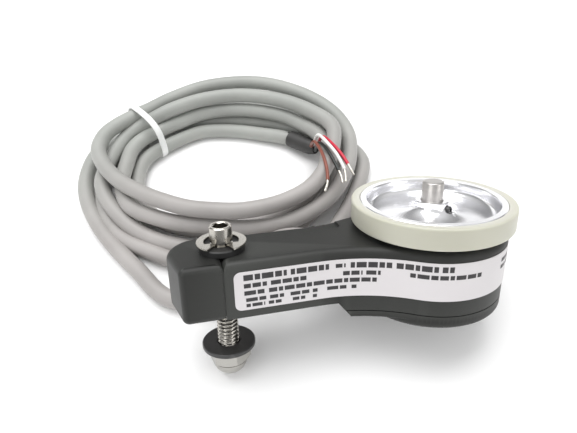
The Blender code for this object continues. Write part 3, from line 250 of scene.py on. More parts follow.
def smooth_route(points, step):
    """Points about a step apart on a smooth curve through the route."""
    ends = [points[0] * 2 - points[1]] + list(points) + [points[-1] * 2 - points[-2]]
    route = []
    for before, a, b, after in zip(ends, ends[1:], ends[2:], ends[3:]):
        knots = [0.0]
        for p, q in ((before, a), (a, b), (b, after)):
            knots.append(knots[-1] + sqrt((q - p).length))
        t0, t1, t2, t3 = knots
        count = max(2, round((b - a).length / step))
        for i in range(count):
            t = t1 + (t2 - t1) * i / count
            p01 = before.lerp(a, (t - t0) / (t1 - t0))
            p12 = a.lerp(b, (t - t1) / (t2 - t1))
            p23 = b.lerp(after, (t - t2) / (t3 - t2))
            left = p01.lerp(p12, (t - t0) / (t2 - t0))
            right = p12.lerp(p23, (t - t1) / (t3 - t1))
            route.append(left.lerp(right, (t - t1) / (t2 - t1)))
    route.append(points[-1])
    return route


def turn_points(stations):
    """The stations of a turn as points on the table."""
    points = []
    for degrees, out, height in stations:
        angle = radians(degrees)
        points.append(COIL_MIDDLE + Vector((out * cos(angle), out * sin(angle), height)))
    return points


# ---------------------------------------------------------------- materials


def new_material(name):
    material = bpy.data.materials.new(name)
    material.use_nodes = True
    tree = material.node_tree
    return material, tree, tree.nodes["Principled BSDF"]


def add_noise(tree, scale, detail=3.0, stretch=None):
    """A noise texture on the object's own coordinates, in metres."""
    coordinates = tree.nodes.new("ShaderNodeTexCoord")
    noise = tree.nodes.new("ShaderNodeTexNoise")
    noise.inputs["Scale"].default_value = scale
    noise.inputs["Detail"].default_value = detail
    source = coordinates.outputs["Object"]
    if stretch:
        mapping = tree.nodes.new("ShaderNodeMapping")
        mapping.inputs["Scale"].default_value = stretch
        tree.links.new(source, mapping.inputs["Vector"])
        source = mapping.outputs["Vector"]
    tree.links.new(source, noise.inputs["Vector"])
    return noise


def ramp_of(tree, source, low, high, start=0.3, end=0.7):
    """A two-colour ramp on a grey value."""
    ramp = tree.nodes.new("ShaderNodeValToRGB")
    ramp.color_ramp.elements[0].position = start
    ramp.color_ramp.elements[1].position = end
    ramp.color_ramp.elements[0].color = (*low, 1.0)
    ramp.color_ramp.elements[1].color = (*high, 1.0)
    tree.links.new(source, ramp.inputs["Fac"])
    return ramp.outputs["Color"]


def add_bump(tree, shader, height, strength, distance):
    bump = tree.nodes.new("ShaderNodeBump")
    bump.inputs["Strength"].default_value = strength
    bump.inputs["Distance"].default_value = distance
    tree.links.new(height, bump.inputs["Height"])
    tree.links.new(bump.outputs["Normal"], shader.inputs["Normal"])


def finish_material(
    name, colour, roughness, metallic=0.0, vary=0.12, patch=60.0, grain=1800.0, bump=0.25, depth=0.00004,
    stretch=None, coat=0.0, edge=None, gloss=0.5,
):
    """A surface with slow colour and gloss variation and a fine grain. Its edges can be painted lighter, as
    a painted edge highlight.
    """
    material, tree, shader = new_material(name)
    shader.inputs["Metallic"].default_value = metallic
    shader.inputs["Coat Weight"].default_value = coat
    shader.inputs["Specular IOR Level"].default_value = gloss
    slow = add_noise(tree, patch, 4.0, stretch)
    fine = add_noise(tree, grain, 2.0, stretch)
    low = [channel * (1 - vary) for channel in colour]
    high = [min(1.0, channel * (1 + vary)) for channel in colour]
    tint = ramp_of(tree, slow.outputs["Fac"], low, high)
    # Sharp edges take the lighter edge colour: a painted highlight along them.
    if edge:
        geometry = tree.nodes.new("ShaderNodeNewGeometry")
        painted_edge_highlight = ramp_of(tree, geometry.outputs["Pointiness"], (0, 0, 0), (1, 1, 1), 0.51, 0.6)
        mix = tree.nodes.new("ShaderNodeMix")
        mix.data_type = "RGBA"
        tree.links.new(painted_edge_highlight, mix.inputs["Factor"])
        tree.links.new(tint, mix.inputs["A"])
        mix.inputs["B"].default_value = (*edge, 1.0)
        tint = mix.outputs["Result"]
    tree.links.new(tint, shader.inputs["Base Color"])
    span = tree.nodes.new("ShaderNodeMapRange")
    span.inputs["To Min"].default_value = max(0.03, roughness - 0.08)
    span.inputs["To Max"].default_value = roughness + 0.08
    tree.links.new(slow.outputs["Fac"], span.inputs["Value"])
    tree.links.new(span.outputs["Result"], shader.inputs["Roughness"])
    add_bump(tree, shader, fine.outputs["Fac"], bump, depth)
    return material, tree, shader


def turned_metal(name, colour, roughness, ring_scale, strength):
    """Metal with fine tool rings about the piece's own Z axis."""
    material, tree, shader = finish_material(name, colour, roughness, 1.0, vary=0.05, patch=90.0)
    coordinates = tree.nodes.new("ShaderNodeTexCoord")
    rings = tree.nodes.new("ShaderNodeTexWave")
    rings.wave_type = "RINGS"
    rings.rings_direction = "Z"
    rings.inputs["Scale"].default_value = ring_scale
    rings.inputs["Distortion"].default_value = 0.6
    tree.links.new(coordinates.outputs["Object"], rings.inputs["Vector"])
    add_bump(tree, shader, rings.outputs["Fac"], strength, 0.00002)
    return material


def plain(name, colour, roughness, **details):
    return finish_material(name, colour, roughness, **details)[0]


LOOKS = {
    # The moulding's lighter edge colour is a painted edge highlight along its chamfers.
    "housing_plastic": plain(
        "housing_moulding", (0.019, 0.0195, 0.018), 0.48, vary=0.12, grain=2600.0, bump=0.5,
        depth=0.00005, edge=(0.05, 0.052, 0.048), gloss=0.34,
    ),
    "black_plastic": plain("black_moulding", (0.016, 0.016, 0.016), 0.42, grain=2400.0),
    # The washer's lighter edge colour is a painted edge highlight.
    "black_washer": plain(
        "black_oxide", (0.018, 0.018, 0.019), 0.36, metallic=0.5, vary=0.25, patch=220.0,
        edge=(0.09, 0.09, 0.09),
    ),
    "bright_steel": plain(
        "nickel_plate", (0.5, 0.48, 0.44), 0.2, metallic=1.0, vary=0.06, bump=0.12, patch=150.0,
    ),
    "aluminium": turned_metal("turned_aluminium", (0.92, 0.92, 0.94), 0.2, 900.0, 0.35),
    # The tyre's lighter edge colour is a painted edge highlight.
    "urethane": plain(
        "cast_urethane", (0.53, 0.525, 0.44), 0.36, vary=0.05, patch=40.0, grain=1200.0, bump=0.15,
        edge=(0.6, 0.59, 0.52),
    ),
    "rubber": plain("black_rubber", (0.028, 0.028, 0.028), 0.62, grain=2200.0, bump=0.4),
    "disc_glass": plain("disc_film", (0.7, 0.75, 0.78), 0.1, vary=0.05),
    "board_green": plain("solder_mask", (0.02, 0.16, 0.06), 0.35, vary=0.25, patch=400.0),
    "label_white": plain(
        "label_film", (0.68, 0.655, 0.665), 0.42, vary=0.02, patch=50.0, grain=900.0, bump=0.1,
    ),
    "connector_white": plain("nylon_shell", (0.8, 0.79, 0.74), 0.4, vary=0.05),
    "cable_grey": plain(
        "cable_jacket", (0.37, 0.367, 0.355), 0.46, vary=0.1, patch=45.0, grain=1500.0, bump=0.3,
        gloss=0.4,
    ),
    "tie_white": plain("tie_nylon", (0.86, 0.87, 0.86), 0.32, vary=0.03, patch=120.0),
    "wire_red": plain("red_insulation", (0.58, 0.02, 0.05), 0.36, vary=0.1, patch=300.0),
    "wire_white": plain("white_insulation", (0.84, 0.84, 0.82), 0.36, vary=0.04, patch=300.0),
    "wire_brown": plain("brown_insulation", (0.24, 0.07, 0.045), 0.36, vary=0.12, patch=300.0),
    "wire_black": plain("black_insulation", (0.018, 0.022, 0.02), 0.36, vary=0.15, patch=300.0),
}


def tint_jacket():
    """The jacket's grey goes from warmer near the encoder to greenish at the back of the coil."""
    tree = LOOKS["cable_grey"].node_tree
    shader = tree.nodes["Principled BSDF"]
    coordinates = tree.nodes.new("ShaderNodeTexCoord")
    axes = tree.nodes.new("ShaderNodeSeparateXYZ")
    tree.links.new(coordinates.outputs["Object"], axes.inputs["Vector"])
    tone = ramp_of(tree, axes.outputs["Y"], (1.035, 0.992, 0.992), (0.965, 1.0, 0.975), 0.04, 0.085)
    mix = tree.nodes.new("ShaderNodeMix")
    mix.data_type = "RGBA"
    mix.blend_type = "MULTIPLY"
    mix.inputs["Factor"].default_value = 1.0
    tree.links.new(shader.inputs["Base Color"].links[0].from_socket, mix.inputs["A"])
    tree.links.new(tone, mix.inputs["B"])
    tree.links.new(mix.outputs["Result"], shader.inputs["Base Color"])


def soften_urethane():
    """Light goes a little way into the tyre."""
    shader = LOOKS["urethane"].node_tree.nodes["Principled BSDF"]
    shader.inputs["Subsurface Weight"].default_value = 0.35
    shader.inputs["Subsurface Radius"].default_value = (0.004, 0.004, 0.003)
    shader.inputs["Subsurface Scale"].default_value = 0.5


tint_jacket()
soften_urethane()
TINNED = plain(
    "tinned_strands", (0.75, 0.72, 0.66), 0.3, metallic=1.0, grain=5000.0, bump=0.8, depth=0.00012,
)
# The nut's steel is a darker copy of the bright steel, painted shade so that its dome does not vanish
# against the white floor it mirrors.
NUT_STEEL_PAINTED_DARKER = plain("nut_steel_painted_darker", (0.42, 0.41, 0.385), 0.22, metallic=1.0, vary=0.08, bump=0.12, patch=150.0)
BRUSHED = plain(
    "brushed_shaft", (0.56, 0.54, 0.52), 0.36, metallic=1.0, vary=0.08, grain=2500.0, bump=0.3,
    stretch=(1, 1, 14),
)
INK = plain("label_ink", (0.035, 0.033, 0.035), 0.5, vary=0.2, patch=500.0)
SHRINK = plain(
    "heat_shrink", (0.035, 0.034, 0.033), 0.5, vary=0.2, patch=160.0, grain=900.0, bump=0.5, depth=0.0001,
)

# Every node that isn't of bright steel, by its slot. A wire's node has its slot's name.
SLOT_NODES = {
    "housing_plastic": ("arm_housing", "end_cap", "bottom_cover"),
    "black_plastic": ("optical_module", "lower_bush", "upper_bush"),
    "black_washer": ("clamp_washer",),
    "aluminium": ("bearing_carrier", "disc_hub", "wheel_hub"),
    "urethane": ("tyre",),
    "rubber": ("cover_seal", "shaft_seal", "cable_gland", "heat_shrink_sleeve"),
    "disc_glass": ("code_disc",),
    "board_green": ("circuit_board",),
    "connector_white": ("board_connector",),
    "label_white": ("side_label",),
    "tie_white": ("cable_tie",),
    "cable_grey": ("inner_lead", "cable_lead", "cable_loose_turn", "cable_coil", "cable_tail"),
    "wire_red": ("wire_red",),
    "wire_white": ("wire_white",),
    "wire_brown": ("wire_brown",),
    "wire_black": ("wire_black",),
}
NODE_SLOTS = {name: slot for slot, names in SLOT_NODES.items() for name in names}
for node_name, node in frame["nodes"].items():
    node_slot = NODE_SLOTS.get(node_name, "bright_steel")
    node.data.materials.clear()
    node.data.materials.append(LOOKS[node_slot])

# ---------------------------------------------------------------- shape helpers


def link(name, data):
    obj = bpy.data.objects.new(name, data)
    bpy.context.scene.collection.objects.link(obj)
    return obj


def mesh_of(bm, name):
    mesh = bpy.data.meshes.new(name)
    bm.to_mesh(mesh)
    bm.free()
    return mesh


def shade(obj, angle=32.0, weighted=True):
    obj.data.shade_smooth()
    obj.data.set_sharp_from_angle(angle=radians(angle))
    if weighted:
        normals = obj.modifiers.new("flat_faces_lead", "WEIGHTED_NORMAL")
        normals.keep_sharp = True
    return obj


def finish_piece(obj, body, slot_name, replaced=(), material=None, matrix=LEVEL):
    """Leans the piece with the encoder, gives it its looks and ties it to its body."""
    obj.matrix_world = matrix @ obj.matrix_basis
    obj.data.materials.clear()
    obj.data.materials.append(material or LOOKS[slot_name])
    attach(obj, body)
    if replaced:
        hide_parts(*replaced)
    return obj


def turned(name, profile, steps=96, centre=(0.0, 0.0, 0.0), closed=True):
    """A piece turned about Z from a profile of (radius, height), as rings of faces."""
    bm = bmesh.new()
    rings = []
    for radius, height in profile:
        if radius < 0.001:
            rings.append([bm.verts.new((0, 0, height * MM))])
            continue
        rings.append(
            [
                bm.verts.new(
                    (
                        radius * cos(2 * pi * i / steps) * MM, radius * sin(2 * pi * i / steps) * MM,
                        height * MM,
                    )
                )
                for i in range(steps)
            ]
        )
    pairs = list(zip(rings, rings[1:]))
    if closed:
        pairs.append((rings[-1], rings[0]))
    for upper, lower in pairs:
        for i in range(steps):
            j = (i + 1) % steps
            corners = [
                upper[i % len(upper)], lower[i % len(lower)], lower[j % len(lower)],
                upper[j % len(upper)],
            ]
            unique = list(dict.fromkeys(corners))
            if len(unique) > 2:
                bm.faces.new(unique)
    bmesh.ops.recalc_face_normals(bm, faces=bm.faces[:])
    obj = link(name, mesh_of(bm, name))
    obj.location = Vector(centre) * MM
    return shade(obj, weighted=False)


def prism(name, outline, bottom, top, top_round=0.0, bottom_round=0.0, segments=6):
    """An upright prism with its top and bottom edges rounded."""
    bm = bmesh.new()
    face = bm.faces.new([bm.verts.new((x * MM, y * MM, bottom * MM)) for x, y in outline])
    lid = bmesh.ops.extrude_face_region(bm, geom=[face])
    raised = [item for item in lid["geom"] if isinstance(item, bmesh.types.BMVert)]
    bmesh.ops.translate(bm, verts=raised, vec=(0, 0, (top - bottom) * MM))
    bmesh.ops.recalc_face_normals(bm, faces=bm.faces[:])
    for height, size in ((top, top_round), (bottom, bottom_round)):
        if size > 0:
            rim = [e for e in bm.edges if all(abs(v.co.z - height * MM) < 1e-7 for v in e.verts)]
            bmesh.ops.bevel(
                bm, geom=rim, offset=size * MM, segments=segments, profile=0.5, affect="EDGES",
            )
    return link(name, mesh_of(bm, name))


def rod(name, radius, bottom, top, centre=(0.0, 0.0), sides=64, spin=0.0):
    bm = bmesh.new()
    bmesh.ops.create_cone(
        bm, cap_ends=True, segments=sides, radius1=radius * MM, radius2=radius * MM,
        depth=(top - bottom) * MM,
    )
    obj = link(name, mesh_of(bm, name))
    obj.location = Vector((centre[0], centre[1], (top + bottom) / 2)) * MM
    obj.rotation_euler = (0, 0, spin)
    return obj


def block(name, low, high):
    bm = bmesh.new()
    bmesh.ops.create_cube(bm, size=1.0)
    bmesh.ops.scale(bm, vec=(Vector(high) - Vector(low)) * MM, verts=bm.verts)
    obj = link(name, mesh_of(bm, name))
    obj.location = (Vector(low) + Vector(high)) / 2 * MM
    return obj


def aim(obj, start, direction):
    obj.location = Vector(start) * MM
    obj.rotation_euler = Vector(direction).to_track_quat("Z", "Y").to_euler()
    return obj


def cut(obj, cutters, operation="DIFFERENCE"):
    """Cuts or joins at once and throws the cutters away."""
    for cutter in cutters:
        boolean = obj.modifiers.new("cut", "BOOLEAN")
        boolean.operation = operation
        boolean.object = cutter
        boolean.solver = "EXACT"
    bpy.context.view_layer.update()
    graph = bpy.context.evaluated_depsgraph_get()
    mesh = bpy.data.meshes.new_from_object(obj.evaluated_get(graph))
    obj.modifiers.clear()
    obj.data = mesh
    for cutter in cutters:
        bpy.data.objects.remove(cutter, do_unlink=True)
    return obj


def tube(name, points, radius, radii=None, resolution=6):
    """A round wire or cable along points in millimetres, as a curve of one spline."""
    curve = bpy.data.curves.new(name, "CURVE")
    curve.dimensions = "3D"
    spline = curve.splines.new("POLY")
    spline.points.add(len(points) - 1)
    for i, place in enumerate(points):
        spline.points[i].co = (*(place * MM), 1.0)
        spline.points[i].radius = radii[i] if radii else 1.0
    spline.use_smooth = True
    curve.bevel_depth = radius * MM
    curve.bevel_resolution = resolution
    curve.use_fill_caps = True
    return link(name, curve)


def arc(centre, radius, start, end, count):
    turns = [start + (end - start) * i / count for i in range(count + 1)]
    return [(centre[0] + radius * cos(a), centre[1] + radius * sin(a)) for a in turns]


def polar(radius, degrees):
    return (radius * cos(radians(degrees)), radius * sin(radians(degrees)))


# ---------------------------------------------------------------- cable

IDENTITY = Matrix.Identity(4)
GLAND_DIRECTION = Vector((cos(GLAND_ANGLE), sin(GLAND_ANGLE), 0.0))


def make_gland():
    """The ribbed and tapered strain relief that the cable comes out of."""
    start = GLAND_BOSS + GAP
    bore = CABLE_DIAMETER / 2 - 0.8
    profile = [(3.7, GLAND_LENGTH + start), (3.9, GLAND_LENGTH + start - 0.3)]
    ribs = 3
    for i in range(ribs):
        low = GLAND_LENGTH + start - 1.0 - 1.8 * i
        radius = 4.1 + 0.35 * i
        profile += [
            (radius, low), (radius - 0.5, low - 0.3), (radius - 0.45, low - 0.9),
            (radius + 0.15, low - 1.2),
        ]
    profile += [(5.2, start + 2.0), (5.2, start), (3.4, start), (3.4, start - 4.0), (bore, start - 4.0)]
    profile += [(bore, GLAND_LENGTH + start)]
    gland = turned("cable_strain_relief", profile, steps=48)
    aim(gland, GLAND_START, GLAND_DIRECTION)
    return finish_piece(gland, "arm", "rubber", ["cable_gland"])


def make_sleeve():
    points = smooth_route([Vector(p) for p in SLEEVE_ROUTE], 0.8)
    count = len(points)
    radii = []
    for i in range(count):
        along = i / (count - 1)
        shrink = 1.0 - 0.3 * max(0.0, (along - 0.72) / 0.28) ** 2
        radii.append(shrink * (1.0 + 0.012 * sin(along * 40.0)))
    sleeve = tube("heat_shrink", points, SLEEVE_RADIUS, radii)
    return finish_piece(sleeve, "arm", "rubber", ["heat_shrink_sleeve"], SHRINK, IDENTITY)


def make_wire(colour, route):
    """One lead: its insulation, and the tinned strands that are bared at its end."""
    points = smooth_route([Vector(p) for p in route], 0.7)
    at = len(points) - 1
    bared = 0.0
    while bared < BARE_TIP:
        bared += (points[at] - points[at - 1]).length
        at -= 1
    jacket = tube("lead_" + colour, points[: at + 1], WIRE_RADIUS, resolution=4)
    finish_piece(jacket, "arm", "wire_" + colour, ["wire_" + colour], None, IDENTITY)
    rest = points[at:]
    radii = [1.0 + 0.12 * sin(i * 1.9) for i in range(len(rest))]
    radii[-1] = 0.6
    tip = tube("lead_tip_" + colour, rest, STRAND_RADIUS, radii, resolution=3)
    finish_piece(tip, "arm", "bright_steel", (), TINNED, IDENTITY)
    return [jacket, tip]


# The tie's loop round the bundle in its own upright plane: distance from the inner side, and height.
TIE_SECTION = [
    (21.9, 0.7), (24.3, 1.0), (25.3, 3.4), (25.0, 5.4), (22.6, 13.0), (21.4, 15.6), (19.4, 17.2),
    (16.4, 17.6), (10.6, 17.6), (5.6, 16.6), (2.4, 14.4), (0.8, 11.2), (0.2, 7.6), (0.2, 3.4), (1.4, 1.0),
    (4.0, 0.7),
]
TIE_START = COIL_MIDDLE + Vector((-22.6, 21.7, 0.0))
TIE_DIRECTION = radians(122.0)
# The strap's cut face: shares of its half width and of its thickness.
STRAP_EDGE = (
    (-1, 0.15), (-0.85, 0.0), (0.85, 0.0), (1, 0.15), (1, 0.85), (0.85, 1.0), (-0.85, 1.0), (-1, 0.85),
)


def make_tie():
    """A nylon strap drawn tight round the bundle, with its lock."""
    out = Vector((cos(TIE_DIRECTION), sin(TIE_DIRECTION), 0.0))
    side = Vector((-out.y, out.x, 0.0))
    corners = [Vector((reach, height, 0.0)) for reach, height in TIE_SECTION]
    loop = smooth_route(corners + [corners[0]], 1.2)[:-1]
    count = len(loop)
    bm = bmesh.new()
    rings = []
    for i, point in enumerate(loop):
        forward = (loop[(i + 1) % count] - loop[i - 1]).normalized()
        outward = Vector((-forward.y, forward.x, 0.0))
        rows = []
        for across, lift in STRAP_EDGE:
            flat = point + outward * (TIE_THICKNESS * (0.5 - lift))
            place = TIE_START + out * flat.x + side * (across * TIE_HALF_WIDTH) + Vector((0, 0, flat.y))
            rows.append(bm.verts.new(place * MM))
        rings.append(rows)
    for i in range(count):
        for j in range(len(STRAP_EDGE)):
            k = (j + 1) % len(STRAP_EDGE)
            bm.faces.new([rings[i][j], rings[i][k], rings[(i + 1) % count][k], rings[(i + 1) % count][j]])
    bmesh.ops.recalc_face_normals(bm, faces=bm.faces[:])
    strap = shade(link("tie_strap", mesh_of(bm, "tie_strap")), weighted=False)
    finish_piece(strap, "arm", "tie_white", ["cable_tie"], None, IDENTITY)
    bm = bmesh.new()
    bmesh.ops.create_cube(bm, size=1.0)
    bmesh.ops.scale(bm, vec=Vector(TIE_LOCK) * MM, verts=bm.verts)
    bmesh.ops.bevel(
        bm, geom=bm.edges[:], offset=TIE_LOCK_ROUND * MM, segments=3, profile=0.5, affect="EDGES",
    )
    lock = link("tie_lock", mesh_of(bm, "tie_lock"))
    lock.location = (TIE_START + out * 26.6 + Vector((0, 0, 3.0))) * MM
    lock.rotation_euler = Vector((out.x, out.y, 0.05)).to_track_quat("Z", "Y").to_euler()
    shade(lock)
    finish_piece(lock, "arm", "tie_white", (), None, IDENTITY)
    return [strap, lock]


def make_cable():
    """The whole cable as one cord, which starts a little way inside the strain relief."""
    mouth = GLAND_BOSS + GAP + GLAND_LENGTH
    exit_point = on_table(GLAND_START + GLAND_DIRECTION * mouth) / MM
    inside = on_table(GLAND_START + GLAND_DIRECTION * (mouth - 2.5)) / MM
    points = [inside, exit_point] + [Vector(p) for p in LEAD_ROUTE[1:]]
    points += turn_points(FIRST_TURN)
    points += [Vector(p) for p in LOOSE_ROUTE]
    points += turn_points(TIED_TURNS)
    points += [Vector(p) for p in SLEEVE_ROUTE[:3]]
    route = smooth_route(points, 2.2)
    cable = tube("signal_cable", route, CABLE_DIAMETER / 2, resolution=8)
    nodes = ["cable_lead", "cable_loose_turn", "cable_coil", "cable_tail"]
    finish_piece(cable, "arm", "cable_grey", nodes, None, IDENTITY)
    going_along = [make_sleeve(), *make_tie()]
    for colour, wire in WIRE_ROUTES.items():
        going_along += make_wire(colour, wire)


make_gland()
make_cable()

# ---------------------------------------------------------------- housing


def blend_geometry(offset):
    """Centre, radius and end angle of the hollow between the arm's front and the round body."""
    blend_y = -(ARM_HALF_WIDTH + BLEND_RADIUS)
    blend_x = AXLE_SPACING - sqrt((BODY_RADIUS + BLEND_RADIUS) ** 2 - blend_y ** 2)
    toward_body = atan2(-blend_y, AXLE_SPACING - blend_x)
    return (blend_x, blend_y), BLEND_RADIUS - offset, toward_body


def front_side(start_x, offset=0.0, end_angle=0.0):
    """The arm's front edge, through the hollow and round the body, anticlockwise."""
    centre, radius, toward_body = blend_geometry(offset)
    points = [(start_x, -ARM_HALF_WIDTH - offset)]
    points += arc(centre, radius, pi / 2, toward_body, 18)
    points += arc((AXLE_SPACING, 0.0), BODY_RADIUS + offset, toward_body - pi, end_angle, 54)[1:]
    return points


def arm_outline(start_x):
    front = front_side(start_x)
    return front + [(x, -y) for x, y in reversed(front[:-1])]


def step_cutter(start_x):
    """All below the arm's underside, up to the slanted step."""
    depth = 40.0
    low = COVER_BOTTOM - 2.0
    slant = (STEP_END - STEP_START) / TAB_BOTTOM
    corners = [(start_x, 0.0), (STEP_START, 0.0), (STEP_START + slant * low, low), (start_x, low)]
    bm = bmesh.new()
    face = bm.faces.new([bm.verts.new((x * MM, -depth * MM, z * MM)) for x, z in corners])
    lid = bmesh.ops.extrude_face_region(bm, geom=[face])
    moved = [item for item in lid["geom"] if isinstance(item, bmesh.types.BMVert)]
    bmesh.ops.translate(bm, verts=moved, vec=(0, 2 * depth * MM, 0))
    bmesh.ops.recalc_face_normals(bm, faces=bm.faces[:])
    return link("step_cutter", mesh_of(bm, "step_cutter"))


def pivot_cutters():
    """The bore for the bushes and the pocket for the spring, which the arm and the end cap share."""
    bore = rod("bush_bore", BUSH_RADIUS + GAP, -PAST, ARM_TOP + PAST)
    pocket = rod("spring_pocket", SPRING_POCKET_RADIUS, *SPRING_POCKET)
    return [bore, pocket]


def dowel_cutters():
    """The holes for the two dowels across the seam."""
    cutters = []
    for side in (-1, 1):
        cutter = rod("dowel", DOWEL_HOLE_RADIUS, 0.0, DOWEL_HOLE_DEPTH)
        cutters.append(aim(cutter, (SEAM - GAP / 2, side * DOWEL_OFFSET, ARM_TOP / 2), (1, 0, 0)))
    return cutters


def at_screws(name, radius, bottom, top):
    """Upright rods at the cover screws' places."""
    rods = []
    for degrees in COVER_SCREW_ANGLES:
        x, y = polar(COVER_SCREW_CIRCLE, degrees)
        rods.append(rod(name, radius, bottom, top, (AXLE_SPACING + x, y), 40))
    return rods


def make_arm():
    """The arm and round body in one moulding, hollow at the encoder, with bosses and a cable outlet."""
    arm = prism("arm_shell", arm_outline(SEAM), PARTING, ARM_TOP, top_round=EDGE_ROUND)
    low = PARTING - PAST
    ceiling = ARM_TOP - CEILING
    cut(arm, [rod("cavity", CAVITY_RADIUS, low, ceiling, WHEEL_PLACE, 96)])
    bosses = at_screws("boss", BOSS_RADIUS, PARTING, ceiling + 0.5)
    outlet = rod("outlet", 5.2, 0.0, GLAND_BOSS)
    aim(outlet, GLAND_START + GLAND_DIRECTION * GLAND_BOSS / 2, GLAND_DIRECTION)
    cut(arm, [*bosses, outlet], "UNION")
    threads = at_screws("thread", COVER_SCREW_RADIUS + 0.15, low, COVER_SCREW_TOP + 0.6)
    inner, outer = SEAL_GROOVE
    groove_profile = [(outer, SEAL_GROOVE_TOP), (outer, low), (inner, low), (inner, SEAL_GROOVE_TOP)]
    groove = turned("groove", groove_profile, 96, WHEEL_AXIS)
    bore = aim(rod("bore", 3.6, 0.0, 19.2), GLAND_START + GLAND_DIRECTION * 0.6, GLAND_DIRECTION)
    nose = rod("nose", CARRIER_RADIUS + GAP, ARM_TOP - 4.0, ARM_TOP + PAST, WHEEL_PLACE)
    channel = block("channel", (13.5, -5.8, 3.0), (AXLE_SPACING - CAVITY_RADIUS + 3.0, 5.8, 12.6))
    ledge_outline = [(6.5, 5.2), (36.0, 5.2), (37.0, 6.2), (37.0, 16.5), (6.5, 16.5)]
    ledge = prism("ledge", ledge_outline, ARM_TOP - 1.0, ARM_TOP + 2.0, bottom_round=0.3, segments=2)
    cut(arm, [channel, bore, nose, *threads, groove, ledge])
    cut(arm, [step_cutter(SEAM - 2.0), *pivot_cutters(), *dowel_cutters()])
    shade(arm)
    return finish_piece(arm, "arm", "housing_plastic", ["arm_housing"])


def make_end_cap():
    """The cap round the pivot: a nearly square front corner, a bulged end and a broad round at the rear."""
    half = ARM_HALF_WIDTH
    proud = 0.5
    corner = 2.0
    rear_round = 9.4
    front_x = -12.8
    seam = SEAM - SEAM_LINE
    outline = [(seam - 0.5, -half - proud), (seam, -half - proud + 0.5), (seam, half)]
    outline += arc((CAP_END + rear_round, half - rear_round), rear_round, radians(90), radians(181), 20)
    outline += arc((front_x + corner, -half - proud + corner), corner, radians(188), radians(270), 10)
    cap = prism("pivot_cap", outline, 0.0, ARM_TOP, top_round=1.8, bottom_round=1.8)
    cut(cap, [*pivot_cutters(), *dowel_cutters()])
    shade(cap)
    return finish_piece(cap, "arm", "housing_plastic", ["end_cap"])


def make_cover():
    """The bottom cover: a flat tab that reaches along the arm and a deeper round pan."""
    top = PARTING - GAP
    low = COVER_BOTTOM - PAST
    high = PARTING + PAST
    floor = COVER_BOTTOM + COVER_FLOOR
    tab = arm_outline(STEP_START / 2)
    cover = prism("base_cover", tab, TAB_BOTTOM, top, bottom_round=0.5, segments=4)
    sides = 120
    circle = arc(WHEEL_PLACE, BODY_RADIUS, 0, 2 * pi * (sides - 1) / sides, sides - 1)
    cut(cover, [prism("disc", circle, COVER_BOTTOM, top - 0.4, bottom_round=1.6)], "UNION")
    cut(cover, [rod("recess", BOARD_RADIUS + 0.4, floor, high, WHEEL_PLACE, 96)])
    cut(cover, at_screws("pad", BOSS_RADIUS, COVER_BOTTOM + COVER_FLOOR / 2, top - 0.05), "UNION")
    holes = at_screws("hole", COVER_SCREW_RADIUS + GAP, low, high)
    sinks = at_screws("sink", COVER_SCREW_HEAD + GAP, low, COVER_BOTTOM + COVER_SINK)
    cut(cover, [*holes, *sinks, step_cutter(SEAM - 2.0)])
    shade(cover)
    return finish_piece(cover, "arm", "housing_plastic", ["bottom_cover"])


def make_cover_screws():
    """Pan-head screws with a six-sided recess, sunk in the cover."""
    low = COVER_BOTTOM + GAP
    high = COVER_BOTTOM + COVER_SINK - GAP
    tip = COVER_SCREW_TOP
    for i, degrees in enumerate(COVER_SCREW_ANGLES):
        x, y = polar(COVER_SCREW_CIRCLE, degrees)
        profile = [
            (0, tip), (COVER_SCREW_RADIUS - 0.3, tip), (COVER_SCREW_RADIUS, tip - 0.4),
            (COVER_SCREW_RADIUS, high), (COVER_SCREW_HEAD, high), (COVER_SCREW_HEAD, low + 0.4),
            (COVER_SCREW_HEAD - 0.35, low), (0, low),
        ]
        screw = turned(f"base_screw_{i + 1}", profile, 40, closed=False)
        cut(screw, [rod("recess", 1.1, low - 0.5, low + 1.0, sides=6)])
        shade(screw)
        screw.location = WHEEL_AXIS * MM + Vector((x, y, 0)) * MM
        finish_piece(screw, "arm", "bright_steel", [f"cover_screw_{i + 1}"])


# ---------------------------------------------------------------- label


class Wrap:
    """The line that the label follows, measured along its length from its left edge."""

    def __init__(self, offset):
        line = [Vector(p) for p in front_side(LABEL_START, offset, LABEL_END_ANGLE)]
        self.line = line
        self.marks = [0.0]
        for a, b in zip(line, line[1:]):
            self.marks.append(self.marks[-1] + (b - a).length)
        self.length = self.marks[-1]

    def at(self, distance):
        """The point at that distance along, and the direction out of the arm there."""
        i = 0
        while i < len(self.line) - 2 and self.marks[i + 1] < distance:
            i += 1
        share = (distance - self.marks[i]) / (self.marks[i + 1] - self.marks[i])
        a, b = self.line[i], self.line[i + 1]
        along = (b - a).normalized()
        return a.lerp(b, share), Vector((along.y, -along.x))


